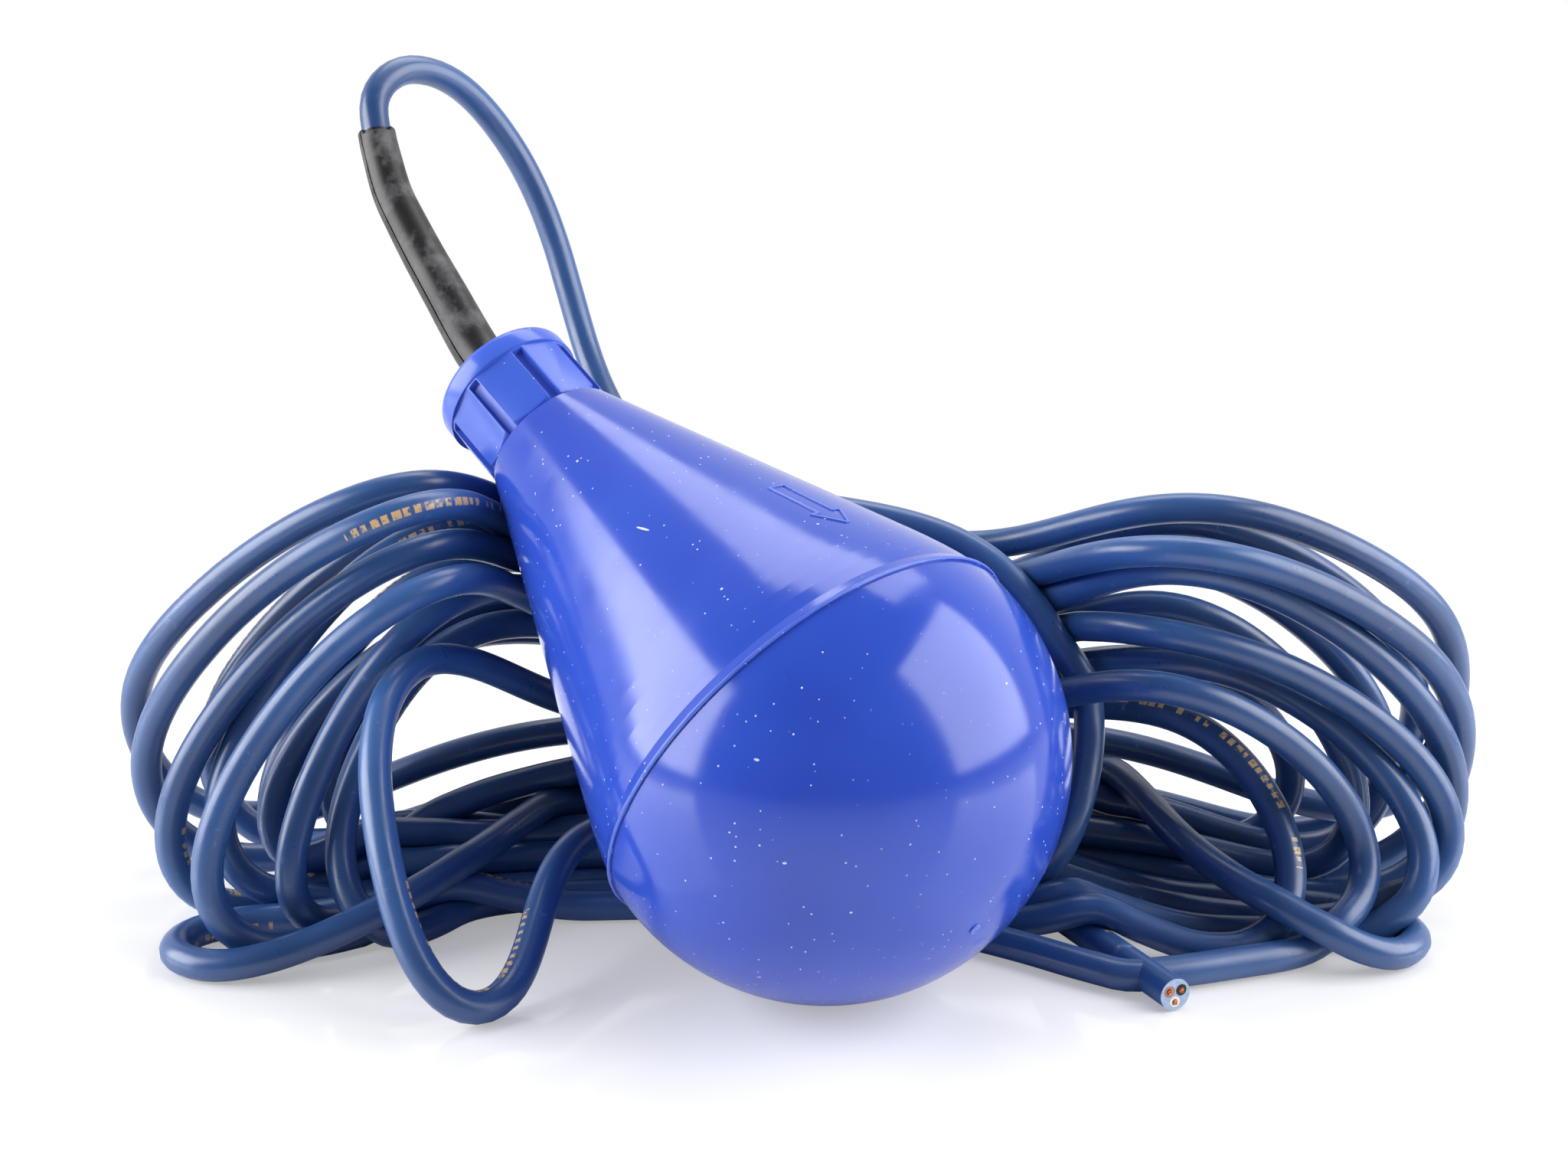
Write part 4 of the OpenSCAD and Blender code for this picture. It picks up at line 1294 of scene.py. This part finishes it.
@dataclass
class GlandNut:
    """The gland nut with its moulded edges broken. Metres."""

    edge: float = 0.00028
    merge: float = 0.000002

    def build(self) -> bpy.types.Object:
        """Round the edges of a copy of the nut's solid.

        Returns:
            The nut.
        """
        nut = bpy.data.objects.new("nut_shell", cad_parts["gland_nut"].data.copy())
        bpy.context.scene.collection.objects.link(nut)
        Bench.open(nut, "VERT")
        bpy.ops.mesh.select_all(action="SELECT")
        bpy.ops.mesh.remove_doubles(threshold=self.merge)
        bpy.ops.mesh.dissolve_limited(angle_limit=math.radians(1.0))
        Bench.close()
        Bench.apply(nut, "BEVEL", width=self.edge, segments=2, limit_method="ANGLE",
                    angle_limit=math.radians(28.0), harden_normals=False, miter_outer="MITER_ARC")
        Bench.smooth(nut, 30.0)
        return Bench.declare(nut, Finish.NUT, "gland_plastic", "gland_nut")


@dataclass
class CasingMarks:
    """What stands proud of the casing: the weld's flash, the arrow and the gate's scar. Metres, upright."""

    flash_r: float = 0.05008
    flash_height: float = 0.00425
    flash_half: float = 0.00042
    flash_wave: float = 0.00032
    tail_height: float = 0.0413
    neck_height: float = 0.0282
    tip_height: float = 0.0223
    shaft_half: float = 0.0023
    head_half: float = 0.0044
    line_width: float = 0.00055
    relief: float = 0.00032
    hip_r: float = 0.045
    hip_height: float = 0.0206
    cone_run: float = (0.045 - 0.0162) / (0.0986 - 0.0206)
    gate: Point = (-0.00483, -0.00427, -0.04957)
    gate_r: float = 0.0012

    def flash(self) -> bpy.types.Object:
        """Model the thin ragged flash that the weld pressed out of the seam."""
        Bench.clear()
        bpy.ops.mesh.primitive_torus_add(major_segments=420, minor_segments=10, major_radius=self.flash_r,
                                         minor_radius=self.flash_half, location=(0.0, 0.0, self.flash_height))
        flash = Bench.name("seam_flash")
        Bench.set_down(flash, Matrix.Identity(4))
        grain = bpy.data.textures.new("flash_grain", "CLOUDS")
        grain.noise_scale = 0.0035
        Bench.apply(flash, "DISPLACE", texture=grain, strength=self.flash_wave, mid_level=0.45,
                    texture_coords="LOCAL")
        Bench.set_down(flash, Layout.float_place())
        Bench.smooth(flash, 60.0)
        return Bench.declare(flash, Finish.FLASH, "float_shell")

    def arrow(self) -> bpy.types.Object:
        """Model the raised outline arrow that points to the round end."""
        slope = math.atan(self.cone_run)
        rise = math.cos(slope)
        shaft = (self.tail_height - self.neck_height) / rise
        head = (self.neck_height - self.tip_height) / rise
        Bench.clear()
        bpy.ops.mesh.primitive_plane_add(size=1.0, location=(0.0, 0.5 * shaft, 0.0))
        arrow = Bench.name("direction_arrow")
        arrow.scale = (2.0 * self.shaft_half, shaft, 1.0)
        Bench.set_down(arrow, Matrix.Identity(4))
        Bench.open(arrow, "EDGE")
        Bench.pick_edges(arrow, lambda end: end.y < 0.0001)
        bpy.ops.mesh.extrude_edges_move(TRANSFORM_OT_translate={"value": (0.0, -0.0001, 0.0)})
        bpy.ops.transform.resize(value=(self.head_half / self.shaft_half, 1.0, 1.0), center_override=(0.0, 0.0, 0.0))
        bpy.ops.mesh.extrude_edges_move(TRANSFORM_OT_translate={"value": (0.0, -head, 0.0)})
        bpy.ops.transform.resize(value=(0.12, 1.0, 1.0), center_override=(0.0, 0.0, 0.0))
        bpy.ops.mesh.select_mode(type="FACE")
        bpy.ops.mesh.select_all(action="SELECT")
        bpy.ops.mesh.inset(thickness=self.line_width, depth=0.0)
        bpy.ops.mesh.delete(type="FACE")
        bpy.ops.mesh.select_all(action="SELECT")
        bpy.ops.mesh.subdivide(number_cuts=2)
        Bench.close()
        radius = self.hip_r - self.cone_run * (self.neck_height - self.hip_height)
        lie = Matrix.Translation((0.0, -radius, self.neck_height)) @ Matrix.Rotation(math.pi / 2.0 - slope, 4, "X")
        Bench.set_down(arrow, Layout.float_place() @ lie)
        Bench.apply(arrow, "SHRINKWRAP", target=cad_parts["casing_cone"], wrap_method="NEAREST_SURFACEPOINT")
        Bench.apply(arrow, "SOLIDIFY", thickness=2.0 * self.relief, offset=0.0)
        Bench.apply(arrow, "BEVEL", width=0.4 * self.relief, segments=2, limit_method="ANGLE",
                    angle_limit=math.radians(50.0))
        Bench.smooth(arrow, 40.0)
        return Bench.declare(arrow, Finish.FLASH, "float_shell")

    def scar(self) -> bpy.types.Object:
        """Model the ring that the moulding gate left on the round end."""
        Bench.clear()
        bpy.ops.mesh.primitive_cylinder_add(vertices=28, radius=self.gate_r, depth=0.0006)
        scar = Bench.name("gate_scar")
        Bench.open(scar)
        Bench.pick_faces(scar, lambda middle, normal: normal.z > 0.9)
        bpy.ops.mesh.inset(thickness=0.35 * self.gate_r, depth=0.0)
        bpy.ops.mesh.inset(thickness=0.2 * self.gate_r, depth=-0.0002)
        Bench.close()
        Bench.apply(scar, "BEVEL", width=0.00008, segments=2, limit_method="ANGLE", angle_limit=math.radians(30.0))
        out = Vector(self.gate).normalized()
        lie = Matrix.Translation(out * Layout.BALL_RADIUS) @ out.to_track_quat("Z", "Y").to_matrix().to_4x4()
        Bench.set_down(scar, Layout.float_place() @ lie)
        Bench.smooth(scar)
        return Bench.declare(scar, Finish.FLASH, "float_shell")

    def build(self) -> list[bpy.types.Object]:
        """Model the three marks.

        Returns:
            The pieces.
        """
        return [self.flash(), self.arrow(), self.scar()]


@dataclass
class Studio:
    """Pale floor, soft light and the camera."""

    camera_place: Point = (-0.0083, -0.423, 0.187)
    camera_pitch: float = math.radians(13.4)
    lens: float = 50.0
    floor_half: float = 3.0
    floor_glow: float = 0.35
    fade_start: float = 0.22
    fade_end: float = 0.50
    fill: float = 0.3
    mirror_bright: float = 1.0
    mirror_dark: float = 0.06

    def camera(self) -> None:
        """Set up the camera as the object was seen."""
        data = bpy.data.cameras.new("camera")
        data.lens = self.lens
        data.sensor_width = 36.0
        data.clip_start = 0.01
        camera = bpy.data.objects.new("camera", data)
        camera.location = Vector(Layout.to_row(np.array(self.camera_place))[0])
        camera.rotation_euler = (math.radians(90.0) - self.camera_pitch, 0.0, -Layout.TURN)
        bpy.context.scene.collection.objects.link(camera)
        bpy.context.scene.camera = camera

    def floor(self) -> None:
        """Lay a glossy white floor that fades into the white background."""
        bpy.ops.object.select_all(action="DESELECT")
        bpy.ops.mesh.primitive_plane_add(size=2.0 * self.floor_half, location=(0.0, 0.0, -0.0002))
        floor = bpy.context.active_object
        floor.name = "floor"
        desk = ShaderDesk("studio_floor")
        desk.set(Base_Color=(0.94, 0.94, 0.95), Roughness=0.09, Specular_IOR_Level=0.5)
        nodes, links = desk.tree.nodes, desk.tree.links
        glow = nodes.new("ShaderNodeEmission")
        glow.inputs["Strength"].default_value = 1.0
        glow.inputs["Color"].default_value = (1.0, 1.0, 1.0, 1.0)
        reach = nodes.new("ShaderNodeVectorMath")
        reach.operation = "LENGTH"
        links.new(desk.coordinates.outputs["Object"], reach.inputs[0])
        fade = desk.spread(reach.outputs["Value"], self.fade_start, self.fade_end, self.floor_glow, 1.0)
        both = nodes.new("ShaderNodeMixShader")
        path = nodes.new("ShaderNodeLightPath")
        links.new(desk.sums("MULTIPLY", path.outputs["Is Camera Ray"], fade), both.inputs["Fac"])
        links.new(desk.shader.outputs["BSDF"], both.inputs[1])
        links.new(glow.outputs["Emission"], both.inputs[2])
        links.new(both.outputs["Shader"], desk.output.inputs["Surface"])
        floor.data.materials.append(desk.material)

    def soft_box(self, name: str, place: Point, target: Point, size: tuple[float, float], power: float) -> None:
        """Hang one soft light.

        Args:
            name: The light's name.
            place: Where it hangs, in the layout.
            target: What it points at, in the layout.
            size: Its width and height.
            power: Its power in watts.
        """
        data = bpy.data.lights.new(name, "AREA")
        data.shape = "RECTANGLE"
        data.size, data.size_y = size
        data.energy = power
        lamp = bpy.data.objects.new(name, data)
        start = Vector(Layout.to_row(np.array(place))[0])
        lamp.location = start
        lamp.rotation_euler = (Vector(Layout.to_row(np.array(target))[0]) - start).to_track_quat("-Z", "Y").to_euler()
        bpy.context.scene.collection.objects.link(lamp)

    def world(self) -> None:
        """Fill the room with soft white: pure white to the camera, darker in mirror images of the camera's side."""
        world = bpy.data.worlds.new("studio")
        bpy.context.scene.world = world
        world.use_nodes = True
        nodes, links = world.node_tree.nodes, world.node_tree.links
        nodes.clear()
        out = nodes.new("ShaderNodeOutputWorld")
        room = nodes.new("ShaderNodeBackground")
        room.inputs["Color"].default_value = (1.0, 1.0, 1.0, 1.0)
        way = nodes.new("ShaderNodeTexCoord")
        front = nodes.new("ShaderNodeVectorMath")
        front.operation = "DOT_PRODUCT"
        links.new(way.outputs["Generated"], front.inputs[0])
        front.inputs[1].default_value = (-math.sin(Layout.TURN), -math.cos(Layout.TURN), 0.25)
        seen = nodes.new("ShaderNodeMapRange")
        seen.interpolation_type = "SMOOTHSTEP"
        for name, value in (("From Min", -0.8), ("From Max", 0.35), ("To Min", self.mirror_bright), ("To Max", self.mirror_dark)):
            seen.inputs[name].default_value = value
        links.new(front.outputs["Value"], seen.inputs["Value"])
        path = nodes.new("ShaderNodeLightPath")
        inner = nodes.new("ShaderNodeMix")
        links.new(path.outputs["Is Glossy Ray"], inner.inputs["Factor"])
        inner.inputs[2].default_value = self.fill
        links.new(seen.outputs["Result"], inner.inputs[3])
        outer = nodes.new("ShaderNodeMix")
        links.new(path.outputs["Is Camera Ray"], outer.inputs["Factor"])
        links.new(inner.outputs[0], outer.inputs[2])
        outer.inputs[3].default_value = 1.0
        links.new(outer.outputs[0], room.inputs["Strength"])
        links.new(room.outputs["Background"], out.inputs["Surface"])

    def light(self) -> None:
        """Hang the soft lights."""
        middle = (0.0, 0.05, 0.05)
        self.soft_box("light_left", (-0.95, -0.12, 0.42), middle, (0.9, 0.75), 15.0)
        self.soft_box("light_right", (0.88, -0.10, 0.52), middle, (0.95, 0.95), 14.5)
        self.soft_box("light_top", (0.10, 0.45, 1.00), middle, (0.9, 0.5), 5.0)

    def build(self) -> None:
        """Set up the whole studio but the camera."""
        self.floor()
        self.world()
        self.light()
        bpy.context.scene.view_settings.view_transform = "Standard"


NODE_FINISHES: dict[str, Finish] = {
    "casing_cone": Finish.CASING,
    "casing_bowl": Finish.CASING,
    "gland_nut": Finish.NUT,
    "gland_washer": Finish.INNER,
    "gland_seal": Finish.SEAL,
    "bend_sleeve": Finish.SLEEVE,
    "switch_carrier": Finish.INNER,
    "carrier_lid": Finish.INNER,
    "ball_track": Finish.TRACK,
    "roller_ball": Finish.STEEL,
    "switch_body": Finish.SWITCH,
    "switch_lever": Finish.SPRING,
    "lever_pin": Finish.SPRING,
    "switch_plunger": Finish.PLUNGER,
    "switch_blades": Finish.BRASS,
    "switch_screws": Finish.SPRING,
    "cable_clamp": Finish.INNER,
    "clamp_screws": Finish.SPRING,
    "cable_stub": Finish.JACKET,
    "inner_core_a": Finish.CORE_BROWN,
    "inner_core_b": Finish.CORE_BLACK,
    "inner_core_c": Finish.CORE_WHITE,
    "cable_lead": Finish.JACKET,
    "cable_hank": Finish.JACKET,
    "cable_loop": Finish.JACKET,
    "cable_tail": Finish.JACKET,
    "cable_end": Finish.CUT,
    "end_core_a": Finish.CORE_BROWN,
    "end_core_b": Finish.CORE_BLACK,
    "end_core_c": Finish.CORE_WHITE,
    "end_wire_a": Finish.COPPER,
    "end_wire_b": Finish.COPPER,
    "end_wire_c": Finish.COPPER,
}


def main() -> None:
    """Build the scene in order: camera, lead, finishes, studio."""
    logging.basicConfig(level=logging.INFO)
    studio = Studio()
    studio.camera()
    sleeve, strands = BendSleeve().build(), CutEnd().build()
    lead = Lead().build([sleeve, strands])
    for piece in (lead, sleeve, strands, GlandNut().build(), *CasingMarks().build()):
        LOG.info("made %s, %d faces", piece.name, len(piece.data.polygons))
    for name, finish in NODE_FINISHES.items():
        finish.dress(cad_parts[name])
    studio.build()


if __name__ == "__main__":
    main()
